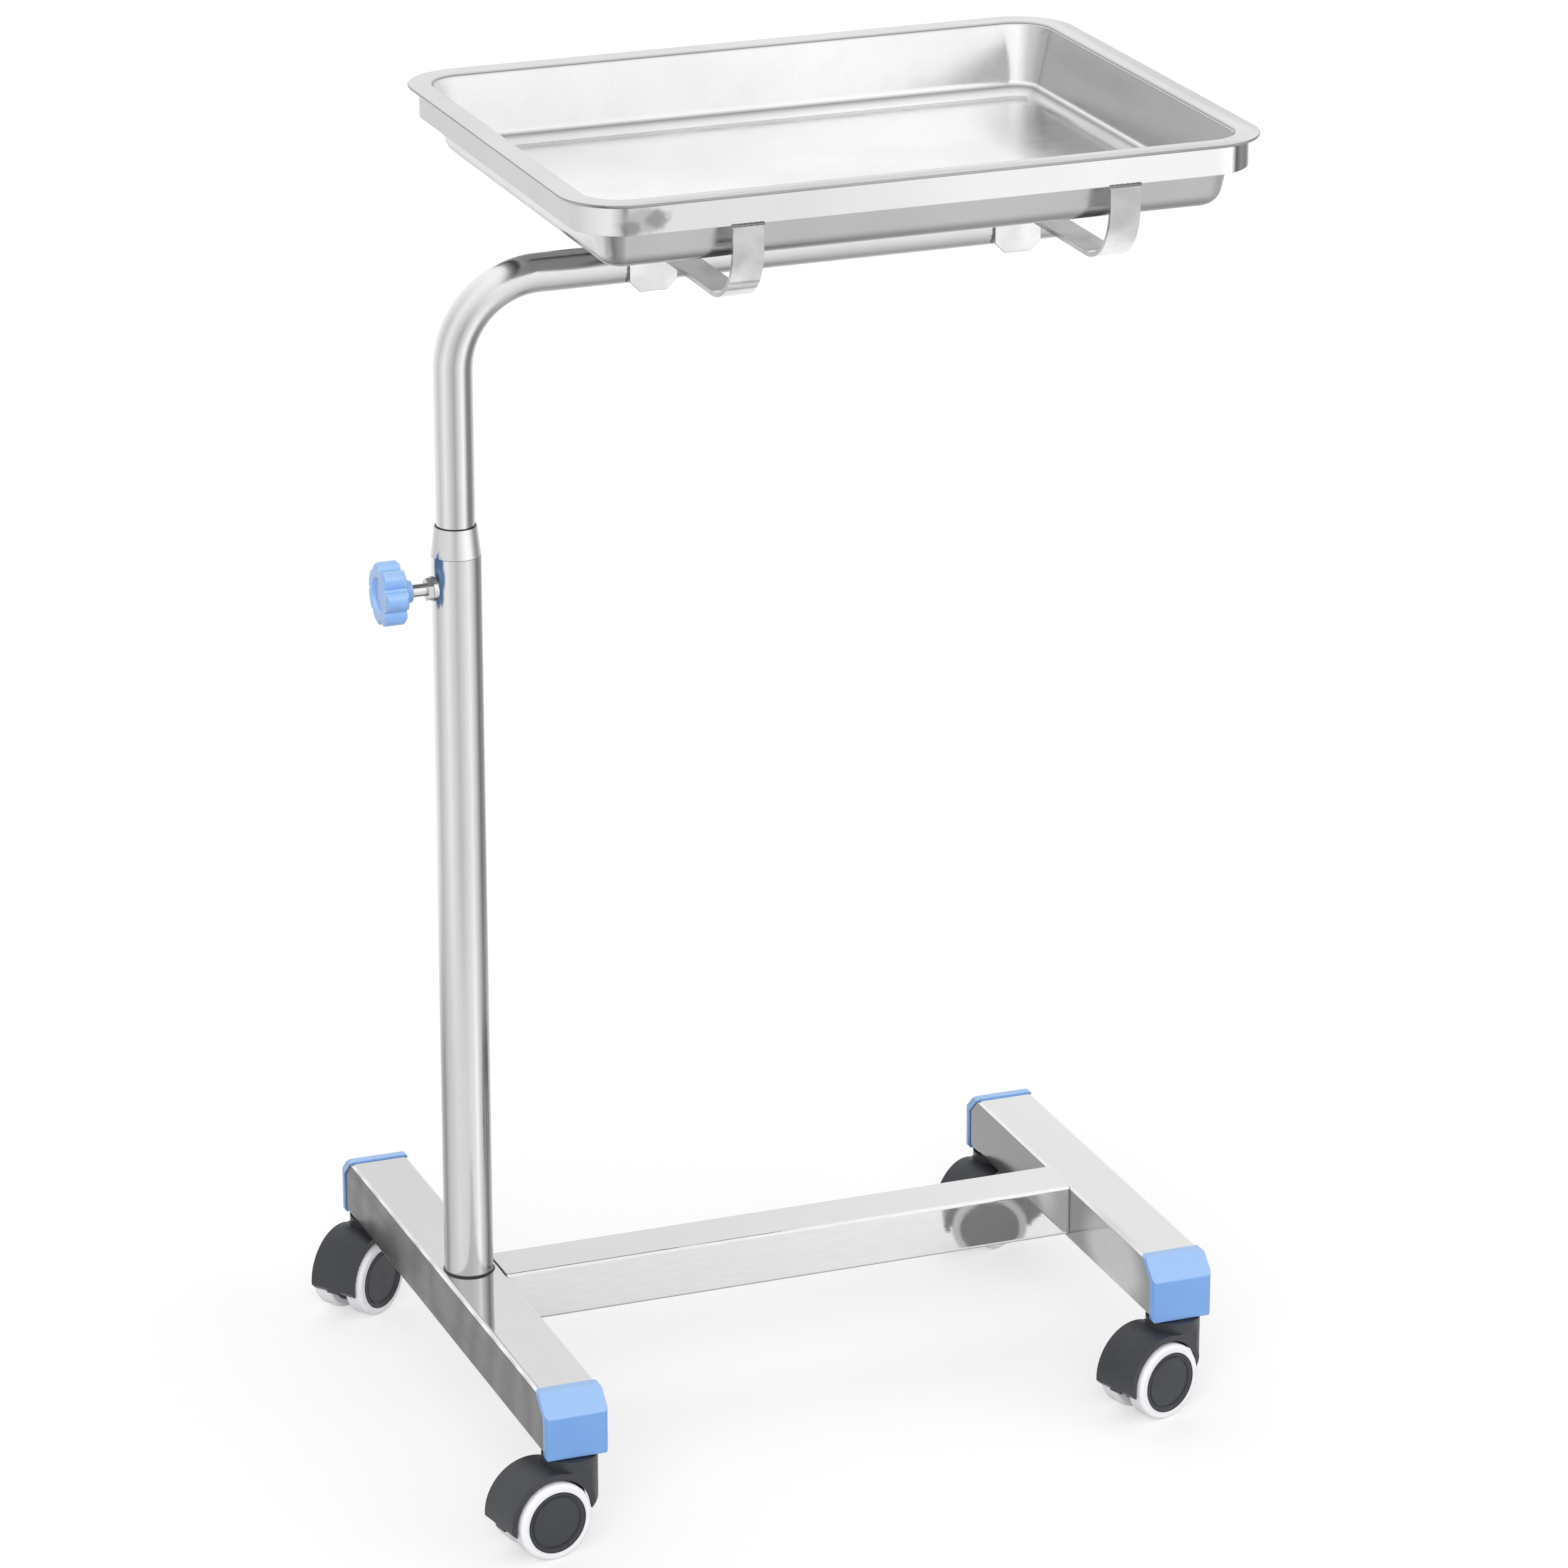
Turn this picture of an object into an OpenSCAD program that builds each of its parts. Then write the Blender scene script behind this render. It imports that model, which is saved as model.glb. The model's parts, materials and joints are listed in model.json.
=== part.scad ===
// Instrument cart: single-post instrument stand on a four-caster H base.
// Millimetres. X runs along the base spine, Y across the cart, Z up from the floor.
// The origin is the middle of the cart's footprint as it stands, at floor level.

/* [Base frame] */
// outer width of the two cross beams
beam_w = 40; // [34:1:60]
// outer height of the two cross beams
beam_h = 40; // [36:1:60]
// wall of every base tube
beam_wall = 1.5; // [1:0.1:3]
// rounding of the tubes' long edges
beam_edge_r = 3; // [2:0.5:5]
// length of the top face of the beam that carries the column
mast_beam_l = 384; // [300:1:500]
// length of the top face of the beam at the other end
toe_beam_l = 280; // [220:5:500]
// centre distance between the two cross beams
base_span = 441; // [350:1:550]
// outer width of the spine between them
spine_w = 38; // [30:1:60]
// outer height of the spine
spine_h = 36; // [30:1:60]

/* [End caps] */
// how far a cap reaches beyond its beam's top face
cap_l = 20.5; // [18:0.5:30]
// thickness of the cap in front of the cut tube
cap_t = 6; // [4:0.5:7]
// how far a cap stands proud of the tube all round
cap_lip = 1; // [0.5:0.25:2]
// how far a cap reaches below the tube
cap_foot = 1.6; // [1:0.1:3]
// drop of the sloping end
cap_bevel = 13.5; // [8:0.5:18]
// radius between the slope and the end face
cap_nose_r = 4; // [2:0.5:6]
// length of the plug inside the tube, behind the top edge
cap_plug_l = 26; // [20:1:40]
// clearance of the plug in the tube, per side
cap_plug_gap = 0.3; // [0.1:0.1:0.6]

/* [Column] */
// outer diameter of the lower tube
column_od = 32; // [31:0.5:40]
// wall of the lower tube
column_wall = 1.5; // [1:0.1:2.5]
// length of the lower tube above the beam
column_l = 493; // [420:1:650]
// height of the tapered guide collar
collar_h = 20; // [12:1:35]
// length of the collar's sleeve inside the tube
collar_sleeve = 14; // [8:1:30]
// diameter of the collar at its narrow top
collar_top_d = 28; // [27.5:0.5:31]
// width of the weld bead around the column's foot
foot_bead = 1.2; // [0.5:0.1:4]

/* [Arm tube] */
// outer diameter of the sliding tube
arm_od = 25; // [22:0.5:26]
// wall of the sliding tube
arm_wall = 1.5; // [1:0.1:2.5]
// centreline radius of the bend
arm_bend_r = 57; // [40:1:90]
// height of the arm's centreline above the column's top, as it stands
arm_rise = 178.5; // [120:0.5:400]
// length of the sliding tube below the column's top, as it stands
arm_insert = 357.5; // [100:0.5:400]
// reach of the arm from the column's axis to its tip
arm_reach = 407; // [400:1:550]
// length of the nylon bush below the sliding tube
bush_l = 30; // [15:1:50]

/* [Clamp] */
// distance of the clamp screw below the column's top
clamp_drop = 21; // [16:0.5:60]
// thread diameter of the clamp screw
stud_d = 8; // [6:1:10]
// width across the flats of the welded nut
nut_af = 13; // [12:1:19]
// thickness of the welded nut
nut_t = 4.5; // [3:0.5:9]
// overall diameter of the hand knob
knob_d = 42; // [34:1:60]
// thickness of the knob's lobed head
knob_t = 15; // [12:0.5:18]
// number of lobes
knob_lobes = 7; // [5:1:9]
// depth of the dish in the knob's face
knob_dish = 2; // [1:0.5:4]
// distance from the column's axis to the knob's outer face
knob_reach = 52.6; // [50:0.1:70]

/* [Tray carrier] */
// width of the flat bar
strap_w = 20; // [15:1:30]
// thickness of the flat bar
strap_t = 3; // [2:0.5:5]
// outer radius of the strap's upward bend
strap_bend_r = 38; // [20:1:48]
// height from the strap's underside to the frame's lower edge
strap_rise = 53.2; // [51:0.1:80]
// first strap's distance from the column's axis
strap_first = 132; // [90:1:200]
// distance between the two straps
strap_pitch = 248; // [150:1:255]
// length of each saddle along the arm
saddle_l = 32; // [25:1:50]
// sheet thickness of a saddle
saddle_t = 1.8; // [1.2:0.1:3]
// how far a saddle reaches below the arm
saddle_drop = 3.2; // [1:0.1:10]
// corner chamfer of a saddle's cheeks
saddle_chamfer = 7; // [3:0.5:12]
// offset of a saddle from its strap's middle
saddle_shift = -3; // [-6:0.5:0]
// height of the frame that holds the tray
ring_h = 20; // [12:1:30]

/* [Tray] */
// length over the rim
tray_l = 460; // [440:1:600]
// width over the rim
tray_w = 362; // [250:1:500]
// outer corner radius of the rim
tray_r = 40; // [39:1:60]
// distance of the tray's middle from the column's axis
tray_cx = 251.5; // [240:0.5:300]
// rim width from its outer edge to the wall
rim_in = 16; // [14:0.5:18]
// radius of the rim's bend into the wall
rim_bend_r = 3; // [1.5:0.5:4]
// inside depth of the tray
tray_depth = 46; // [30:1:70]
// how far the wall leans in from rim to floor
wall_lean = 10.5; // [2:0.5:12]
// sheet thickness
sheet_t = 1; // [0.6:0.1:1.1]
// inside radius between wall and floor
floor_r = 12; // [5:1:13]
// overhang of the rim beyond the frame
rim_over = 7; // [5:0.5:9]
// radius of the rolled hem at the rim's edge
hem_r = 1.1; // [1:0.1:1.6]

/* [Casters] */
// height from the floor to the face that a caster is fitted to
caster_h = 64.5; // [63:0.5:80]
// wheel diameter over the tread
wheel_d = 52; // [46:1:54]
// diameter of the dark hub disc
hub_d = 42.5; // [30:0.5:43]
// distance from the stem's axis back to the axle
trail = 22.5; // [20:0.5:28]
// half the width over both wheels
wheel_half_w = 20.5; // [18:0.5:30]
// half the width of the web between the wheels
web_half_w = 5; // [4:0.5:8]
// radial gap between a wheel and its cover
wheel_gap = 1.5; // [0.8:0.1:2.5]
// wall of the cover over the wheels
hood_wall = 4; // [2.5:0.1:6]
// half the width of the cover
hood_half_w = 17; // [14:0.5:17.5]
// radius of the round housing about the stem
turret_r = 18; // [17.5:0.5:22]
// offset of that housing behind the stem's axis
turret_back = 1.2; // [0:0.1:2]
// height of the round top of that housing
turret_h = 7; // [4:0.5:10]
// reach of the cover's cheeks ahead of the stem's axis
cheek_x = 7.5; // [6:0.5:8.5]
// wall of the front skirt
skirt_wall = 2; // [1.5:0.1:3]
// height of the cover's rear edge above the floor
hood_back_z = 21; // [15:0.5:25]
// cut-back of the cover's heel, at its rear edge
hood_heel = 3; // [1:0.5:5]
// height of the cheeks' lower tips above the floor
hood_tip_z = 28; // [27:0.5:36]
// rise of the front skirt's edge from those tips to its front
skirt_rise = 6; // [2:0.5:12]
// diameter of the bearing pin below the beam
pin_d = 11; // [9:0.5:12]
// thread diameter of the stem inside the beam
stem_d = 10; // [8:0.5:11]
// distance of a stem beyond the end of its beam's top face
stem_out = 7.5; // [0:0.5:8]
// axle diameter
axle_d = 6; // [4:0.5:8]
// running clearance of every shaft and slide, on the radius
run_gap = 0.06; // [0.02:0.01:0.1]

/* [Resting position] */
// swivel of the near caster under the column's beam
swivel_mast_near = 11.5; // [0:0.5:90]
// swivel of the far caster under the column's beam
swivel_mast_far = 36; // [0:0.5:90]
// swivel of the near caster under the toe beam
swivel_toe_near = 20; // [0:0.5:90]
// swivel of the far caster under the toe beam
swivel_toe_far = 30; // [0:0.5:90]

/* [Node] */
// the piece that is drawn, or all of them

/* [Hidden] */
$fn = 72;
eps = 0.01;
steel = [0.80, 0.80, 0.79];
steel_dark = [0.62, 0.62, 0.62];
cap_blue = [0.47, 0.67, 0.93];
hood_grey = [0.27, 0.28, 0.30];
tyre_grey = [0.90, 0.90, 0.91];
nylon = [0.88, 0.87, 0.82];

column_r = column_od / 2;
column_bore_r = column_r - column_wall;
arm_r = arm_od / 2;
arm_bore_r = arm_r - arm_wall;
stud_r = stud_d / 2;
wheel_r = wheel_d / 2;
axle_r = axle_d / 2;
pin_r = pin_d / 2;
stem_r = stem_d / 2;

// heights, from the floor up
beam_top_z = caster_h + beam_h;
beam_mid_z = caster_h + beam_h / 2;
column_top_z = beam_top_z + column_l;
clamp_z = column_top_z - clamp_drop;
arm_z = column_top_z + arm_rise;
arm_foot_z = column_top_z - arm_insert;
strap_z = arm_z + arm_r + saddle_t;
leg_z = strap_z + strap_bend_r;
ring_z = strap_z + strap_rise;
ring_top_z = ring_z + ring_h;
rim_z = ring_top_z + sheet_t;
floor_z = rim_z - tray_depth;

// the frame that the tray drops into
ring_l = tray_l - 2 * rim_over;
ring_w = tray_w - 2 * rim_over;
ring_r = tray_r - rim_over;
strap_y = ring_w / 2;

// the tray's section, measured from the rim's outer edge
wall_a = atan(wall_lean / tray_depth);
bend_k = tan((90 - wall_a) / 2);
bend_x = -rim_in + rim_bend_r * bend_k;
fillet_x = -rim_in - wall_lean - floor_r * bend_k;
fillet_z = floor_z + floor_r;

// beam ends and caps
beam_cut_l = cap_l - cap_t;
mast_stem_y = mast_beam_l / 2 + stem_out;
toe_stem_y = toe_beam_l / 2 + stem_out;
socket_wall = 3;
socket_h = 26;
socket_r = stem_r + socket_wall;
socket_top_z = caster_h + beam_wall + socket_h;

// casters
tread_edge_r = 2.5;
tread_inset = 0.4;
hood_r = wheel_r + wheel_gap + hood_wall;
hood_top_z = caster_h - cap_foot - 0.4;
collar_r = pin_r + 1.3;
collar_foot_z = hood_top_z - 1;
pin_foot_z = hood_top_z - 14.5;
skirt_r = turret_r - skirt_wall;
skirt_top_z = pin_foot_z - 4;

// the cart's footprint, from the column's axis, with the casters as they rest
function wheel_out(s) = (trail + wheel_r - tread_edge_r) * sin(s)
    + (wheel_half_w - tread_inset - tread_edge_r) * cos(s) + tread_edge_r;
function cheek_out(s) = cheek_x * sin(s) + hood_half_w * cos(s);
function hood_out(s) = (trail + hood_r) * cos(s) + hood_half_w * sin(s);
x_low = -max(knob_reach, hood_out(swivel_mast_near), hood_out(swivel_mast_far));
x_high = tray_cx + tray_l / 2;
y_low = -mast_stem_y - wheel_out(swivel_mast_near);
y_high = mast_stem_y + cheek_out(swivel_mast_far);
col_x = -(x_low + x_high) / 2;
col_y = -(y_low + y_high) / 2;

// points of an arc about [cx, cy]
function arc(cx, cy, r, from, to, n = 8) =
    [for (k = [0:n]) let (a = from + (to - from) * k / n) [cx + r * cos(a), cy + r * sin(a)]];

// corner points of a rounded rectangle
function rect_pts(w, h, r) = concat(
    arc(w / 2 - r, h / 2 - r, r, 0, 90, 6),
    arc(-w / 2 + r, h / 2 - r, r, 90, 180, 6),
    arc(-w / 2 + r, -h / 2 + r, r, 180, 270, 6),
    arc(w / 2 - r, -h / 2 + r, r, 270, 360, 6));

module round_rect(w, h, r) {
    polygon(rect_pts(w, h, r));
}

// a plate or block with exact cylinders at its four corners
module corner_block(w, h, r, z0, z1) {
    translate([0, 0, z0]) {
        translate([-w / 2 + r, -h / 2, 0]) cube([w - 2 * r, h, z1 - z0]);
        translate([-w / 2, -h / 2 + r, 0]) cube([w, h - 2 * r, z1 - z0]);
        for (sx = [-1, 1])
            for (sy = [-1, 1])
                translate([sx * (w / 2 - r), sy * (h / 2 - r), 0])
                    cylinder(r = r, h = z1 - z0);
    }
}

module at_column() {
    translate([col_x, col_y, 0]) children();
}

// ---- base frame -------------------------------------------------------------

module hollow_beam(len, w, h) {
    rotate([90, 0, 0])
        linear_extrude(height = len, center = true)
            difference() {
                round_rect(w, h, beam_edge_r);
                round_rect(w - 2 * beam_wall, h - 2 * beam_wall, beam_edge_r - beam_wall);
            }
}

// cross beam: both ends sloped at the top, with a hole for each caster's stem
module cross_beam(top_l) {
    difference() {
        hollow_beam(top_l + 2 * beam_cut_l, beam_w, beam_h);
        for (s = [0, 180])
            rotate([0, 0, s])
                translate([0, top_l / 2, 0]) {
                    rotate([90, 0, 90])
                        linear_extrude(height = beam_w + 2, center = true)
                            polygon([[0, beam_h / 2], [beam_cut_l, beam_h / 2 - cap_bevel],
                                     [beam_cut_l + 1, beam_h / 2 - cap_bevel],
                                     [beam_cut_l + 1, beam_h / 2 + 1], [0, beam_h / 2 + 1]]);
                    translate([0, stem_out, -beam_h / 2 - 1])
                        cylinder(r = stem_r + 0.3, h = beam_wall + 2);
                }
    }
}

module mast_beam() {
    color(steel)
        at_column()
            translate([0, 0, beam_mid_z]) cross_beam(mast_beam_l);
}

module toe_beam() {
    color(steel)
        at_column()
            translate([base_span, 0, beam_mid_z]) cross_beam(toe_beam_l);
}

module spine_beam() {
    color(steel)
        at_column()
            translate([base_span / 2, 0, beam_top_z - spine_h / 2])
                rotate([0, 0, 90])
                    hollow_beam(base_span - beam_w, spine_w, spine_h);
}

// cap in its own place: the beam's top face ends at y = 0, the cap faces +y
module end_cap_shape() {
    w = beam_w + 2 * cap_lip;
    top = beam_h / 2 + cap_lip;
    foot = -beam_h / 2 - cap_foot;
    plug_h = beam_h / 2 - beam_wall - cap_plug_gap;
    plug_w = beam_w - 2 * (beam_wall + cap_plug_gap);
    cut_z = beam_h / 2 - cap_bevel;
    slope = atan(cap_bevel / beam_cut_l);
    nose_k = cap_nose_r * tan((90 - slope) / 2);
    difference() {
        union() {
            // shell over the sloped end and the end face
            intersection() {
                rotate([90, 0, 90])
                    linear_extrude(height = w, center = true)
                        polygon(concat(
                            [[0, beam_h / 2], [0, top], [cap_t, top]],
                            arc(cap_l - cap_nose_r, top - cap_bevel - nose_k, cap_nose_r, 90 - slope, 0, 6),
                            arc(cap_l - 1.5, foot + 1.5, 1.5, 0, -90, 4),
                            [[beam_cut_l, foot], [beam_cut_l, cut_z]]));
                translate([0, cap_l / 2 - 5, foot])
                    linear_extrude(height = top - foot)
                        round_rect(w, cap_l + 10, beam_edge_r);
                translate([0, cap_l / 2, (top + foot) / 2])
                    rotate([90, 0, 0])
                        linear_extrude(height = cap_l, center = true)
                            round_rect(w, top - foot, beam_edge_r);
            }
            // plug inside the tube, open towards the beam
            difference() {
                rotate([90, 0, 90])
                    linear_extrude(height = plug_w, center = true)
                        polygon([[-cap_plug_l, -plug_h], [beam_cut_l + eps, -plug_h],
                                 [beam_cut_l + eps, cut_z], [0, plug_h], [-cap_plug_l, plug_h]]);
                for (s = [-1, 1])
                    translate([s * plug_w / 4, -cap_plug_l / 2 - 4, 0])
                        cube([plug_w / 2 - 4, cap_plug_l, 2 * plug_h - 5], center = true);
            }
        }
        // room for the stem's socket
        translate([0, stem_out, foot - 1])
            cylinder(r = socket_r + 0.3, h = socket_top_z + 0.5 - beam_mid_z - foot + 1);
    }
}

module cap_at(x, y, turn) {
    color(cap_blue)
        at_column()
            translate([x, y, beam_mid_z])
                rotate([0, 0, turn])
                    end_cap_shape();
}

module cap_mast_near() { cap_at(0, -mast_beam_l / 2, 180); }
module cap_mast_far() { cap_at(0, mast_beam_l / 2, 0); }
module cap_toe_near() { cap_at(base_span, -toe_beam_l / 2, 180); }
module cap_toe_far() { cap_at(base_span, toe_beam_l / 2, 0); }

// ---- column -----------------------------------------------------------------

module column_tube() {
    color(steel)
        at_column()
            difference() {
                union() {
                    translate([0, 0, beam_top_z])
                        cylinder(r = column_r, h = column_l);
                    translate([0, 0, beam_top_z])
                        cylinder(r1 = column_r + foot_bead, r2 = column_r, h = foot_bead);
                }
                translate([0, 0, beam_top_z - 1])
                    cylinder(r = column_bore_r, h = column_l + 2);
                clamp_hole();
            }
}

// hole for the clamp screw through one side of the column
module clamp_hole() {
    translate([0, 0, clamp_z])
        rotate([0, -90, 0])
            cylinder(r = stud_r + 0.3, h = column_od);
}

module guide_collar() {
    lip = 2;
    color(steel)
        at_column()
            difference() {
                union() {
                    translate([0, 0, column_top_z])
                        cylinder(r1 = column_r, r2 = collar_top_d / 2, h = collar_h - lip);
                    translate([0, 0, column_top_z + collar_h - lip])
                        cylinder(r1 = collar_top_d / 2, r2 = collar_top_d / 2 - 0.8, h = lip);
                    translate([0, 0, column_top_z - collar_sleeve])
                        cylinder(r = column_bore_r - 0.03, h = collar_sleeve + eps);
                }
                translate([0, 0, column_top_z - collar_sleeve - 1])
                    cylinder(r = arm_r + run_gap, h = collar_sleeve + collar_h + 2);
                clamp_hole();
            }
}

module clamp_nut() {
    seat = column_r - sqrt(pow(column_r, 2) - pow(nut_af / 2 + 1.5, 2));
    color(steel)
        at_column()
            difference() {
                translate([0, 0, clamp_z])
                    rotate([0, -90, 0])
                        difference() {
                            translate([0, 0, column_r - seat]) {
                                cylinder(d = nut_af / cos(30), h = seat + nut_t, $fn = 6);
                                cylinder(d = nut_af + 3, h = seat + 1);
                            }
                            cylinder(r = stud_r + run_gap, h = 2 * column_od);
                        }
                // its back is shaped to the column
                translate([0, 0, clamp_z - column_od])
                    cylinder(r = column_r + 0.02, h = 2 * column_od);
            }
}

// ---- clamp screw ------------------------------------------------------------

module clamp_stud() {
    tip = arm_r + 0.3;
    color(steel_dark)
        at_column()
            translate([0, 0, clamp_z])
                rotate([0, -90, 0]) {
                    translate([0, 0, tip])
                        cylinder(r1 = stud_r - 1, r2 = stud_r, h = 1);
                    translate([0, 0, tip + 1])
                        cylinder(r = stud_r, h = knob_reach - knob_dish - 4 - tip - 1);
                }
}

// lobed outline of the knob
module knob_outline() {
    lobe_r = knob_d * 0.15;
    lobe_at = knob_d / 2 - lobe_r;
    circle(r = lobe_at + 1.5);
    for (k = [0:knob_lobes - 1])
        rotate(360 * k / knob_lobes + 12)
            translate([lobe_at, 0]) circle(r = lobe_r);
}

module clamp_knob() {
    r = knob_d / 2;
    back = knob_reach - knob_t;
    neck_l = 7;
    dish_r = r * 0.5;
    color(cap_blue)
        at_column()
            translate([0, 0, clamp_z])
                rotate([0, -90, 0])
                    difference() {
                        union() {
                            // lobed head, its edges rounded by a turned form
                            translate([0, 0, back])
                                intersection() {
                                    linear_extrude(height = knob_t) knob_outline();
                                    rotate_extrude()
                                        polygon([[0, 0], [r - 1.8, 0], [r + 0.2, 2],
                                                 [r + 0.2, knob_t - 3], [r - 0.8, knob_t - 1],
                                                 [r - 3.3, knob_t], [0, knob_t]]);
                                }
                            translate([0, 0, back - neck_l])
                                cylinder(r1 = stud_r + 3, r2 = stud_r + 5, h = neck_l + eps);
                        }
                        // dished outer face
                        translate([0, 0, knob_reach - knob_dish])
                            cylinder(r1 = dish_r, r2 = dish_r + 2, h = knob_dish + 1);
                        // blind hole around the screw
                        translate([0, 0, back - neck_l - 1])
                            cylinder(r = stud_r + 0.03, h = knob_t + neck_l + 1 - knob_dish - 3.9);
                    }
}

// ---- sliding arm ------------------------------------------------------------

// riser, quarter bend and level arm, as one solid of the given radius
module arm_core(r, over) {
    riser_top = arm_z - arm_bend_r;
    translate([0, 0, arm_foot_z - over])
        cylinder(r = r, h = riser_top - arm_foot_z + over);
    translate([arm_bend_r, 0, riser_top])
        rotate([90, 0, 0])
            rotate_extrude(angle = 90, start = 90)
                translate([arm_bend_r, 0]) circle(r = r);
    translate([arm_bend_r, 0, arm_z])
        rotate([0, 90, 0])
            cylinder(r = r, h = arm_reach - arm_bend_r + over);
}

module arm_tube() {
    color(steel)
        at_column()
            difference() {
                arm_core(arm_r, 0);
                arm_core(arm_bore_r, 1);
            }
}

module arm_plug() {
    color(steel_dark)
        at_column()
            translate([arm_reach, 0, arm_z])
                rotate([0, 90, 0]) {
                    cylinder(r1 = arm_r, r2 = arm_r - 1, h = 1.6);
                    translate([0, 0, -10])
                        cylinder(r = arm_bore_r - 0.1, h = 10 + eps);
                }
}

// nylon bush: slides in the column, and the arm turns on its spigot
module guide_bush() {
    spigot = 25;
    shoulder_z = arm_foot_z - 0.3;
    color(nylon)
        at_column()
            difference() {
                union() {
                    translate([0, 0, shoulder_z - bush_l])
                        cylinder(r = column_bore_r - run_gap, h = bush_l);
                    translate([0, 0, shoulder_z - eps])
                        cylinder(r = arm_bore_r - run_gap, h = spigot);
                }
                translate([0, 0, shoulder_z - bush_l - 1])
                    cylinder(r = arm_bore_r - 5, h = bush_l + spigot + 2);
            }
}

// ---- tray carrier -----------------------------------------------------------

module saddle(at) {
    top = arm_z + arm_r;
    low = top - arm_od - saddle_drop;
    half = arm_r + 0.1;
    color(steel)
        at_column()
            translate([at + saddle_shift, 0, 0]) {
                translate([-saddle_l / 2, -half - saddle_t, top])
                    cube([saddle_l, 2 * (half + saddle_t), saddle_t]);
                for (s = [-1, 1])
                    translate([0, s * (half + saddle_t / 2), 0])
                        rotate([90, 0, 0])
                            linear_extrude(height = saddle_t, center = true)
                                polygon([[-saddle_l / 2, top + eps],
                                         [-saddle_l / 2, low + saddle_chamfer],
                                         [-saddle_l / 2 + saddle_chamfer, low],
                                         [saddle_l / 2 - saddle_chamfer, low],
                                         [saddle_l / 2, low + saddle_chamfer],
                                         [saddle_l / 2, top + eps]]);
            }
}

module saddle_inner() { saddle(strap_first); }
module saddle_outer() { saddle(strap_first + strap_pitch); }

// flat bar across the cart with both ends curved up to the frame
module strap(at) {
    flat = 2 * (strap_y - strap_bend_r);
    bead = 2;
    color(steel)
        at_column()
            translate([at, 0, 0]) {
                translate([-strap_w / 2, -flat / 2, strap_z])
                    cube([strap_w, flat, strap_t]);
                for (s = [-1, 1]) {
                    translate([0, s * flat / 2, leg_z])
                        rotate([0, 90, 0])
                            rotate([0, 0, s > 0 ? 0 : -90])
                                translate([0, 0, -strap_w / 2])
                                    rotate_extrude(angle = 90)
                                        translate([strap_bend_r - strap_t, 0])
                                            square([strap_t, strap_w]);
                    translate([-strap_w / 2, s > 0 ? strap_y - strap_t : -strap_y, leg_z])
                        cube([strap_w, strap_t, ring_z - leg_z]);
                    // weld beads under the frame's lower edge
                    for (e = [-1, 1])
                        translate([e * (strap_w / 2 - 1), s * (strap_y - strap_t / 2), ring_z - bead])
                            cylinder(r1 = 1, r2 = 2.1, h = bead);
                }
            }
}

module strap_inner() { strap(strap_first); }
module strap_outer() { strap(strap_first + strap_pitch); }

module tray_frame() {
    color(steel)
        at_column()
            translate([tray_cx, 0, 0])
                difference() {
                    corner_block(ring_l, ring_w, ring_r, ring_z, ring_top_z);
                    corner_block(ring_l - 2 * strap_t, ring_w - 2 * strap_t, ring_r - strap_t,
                                 ring_z - 1, ring_top_z + 1);
                }
}

// ---- tray -------------------------------------------------------------------

// the tray's section, as one outline: rolled hem, rim, bend, leaning wall, fillet and floor
module rim_profile() {
    t = sheet_t;
    bend_z = rim_z - rim_bend_r;
    polygon(concat(
        arc(-hem_r, rim_z - hem_r, hem_r, -180 - asin((hem_r - t) / hem_r), 90, 8),
        arc(bend_x, bend_z, rim_bend_r, 90, 180 - wall_a, 4),
        arc(fillet_x, fillet_z, floor_r, -wall_a, -90, 8),
        [[-tray_r, floor_z], [-tray_r, floor_z - t]],
        arc(fillet_x, fillet_z, floor_r + t, -90, -wall_a, 8),
        arc(bend_x, bend_z, rim_bend_r - t, 180 - wall_a, 90, 4)));
}

module tray_corner(sx, sy) {
    translate([sx * (tray_l / 2 - tray_r), sy * (tray_w / 2 - tray_r), 0])
        rotate([0, 0, sx > 0 ? (sy > 0 ? 0 : -90) : (sy > 0 ? 90 : 180)])
            rotate_extrude(angle = 90)
                translate([tray_r, 0]) rim_profile();
}

module tray() {
    color(steel)
        at_column()
            translate([tray_cx, 0, 0]) {
                for (sx = [-1, 1])
                    for (sy = [-1, 1])
                        tray_corner(sx, sy);
                for (s = [-1, 1]) {
                    translate([s * tray_l / 2, 0, 0])
                        rotate([90, 0, s > 0 ? 0 : 180])
                            linear_extrude(height = tray_w - 2 * tray_r, center = true)
                                rim_profile();
                    translate([0, s * tray_w / 2, 0])
                        rotate([90, 0, s > 0 ? 90 : -90])
                            linear_extrude(height = tray_l - 2 * tray_r, center = true)
                                rim_profile();
                }
                // floor inside the corners' centres
                translate([-tray_l / 2 + tray_r, -tray_w / 2 + tray_r, floor_z - sheet_t])
                    cube([tray_l - 2 * tray_r, tray_w - 2 * tray_r, sheet_t]);
            }
}

// ---- casters ----------------------------------------------------------------

module at_stem(x, y, swivel) {
    at_column()
        translate([x, y, 0])
            rotate([0, 0, swivel])
                children();
}

module at_mast_near() { at_stem(0, -mast_stem_y, swivel_mast_near) children(); }
module at_mast_far() { at_stem(0, mast_stem_y, swivel_mast_far) children(); }
module at_toe_near() { at_stem(base_span, -toe_stem_y, swivel_toe_near) children(); }
module at_toe_far() { at_stem(base_span, toe_stem_y, swivel_toe_far) children(); }

module at_axle() {
    translate([-trail, 0, wheel_r]) rotate([90, 0, 0]) children();
}

// threaded sleeve welded to the beam's bottom wall, inside the tube
module socket_shape() {
    color(steel_dark)
        translate([0, 0, caster_h + beam_wall])
            difference() {
                cylinder(r = socket_r, h = socket_h);
                translate([0, 0, -1]) cylinder(r = stem_r + 0.03, h = socket_h + 2);
            }
}

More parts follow.
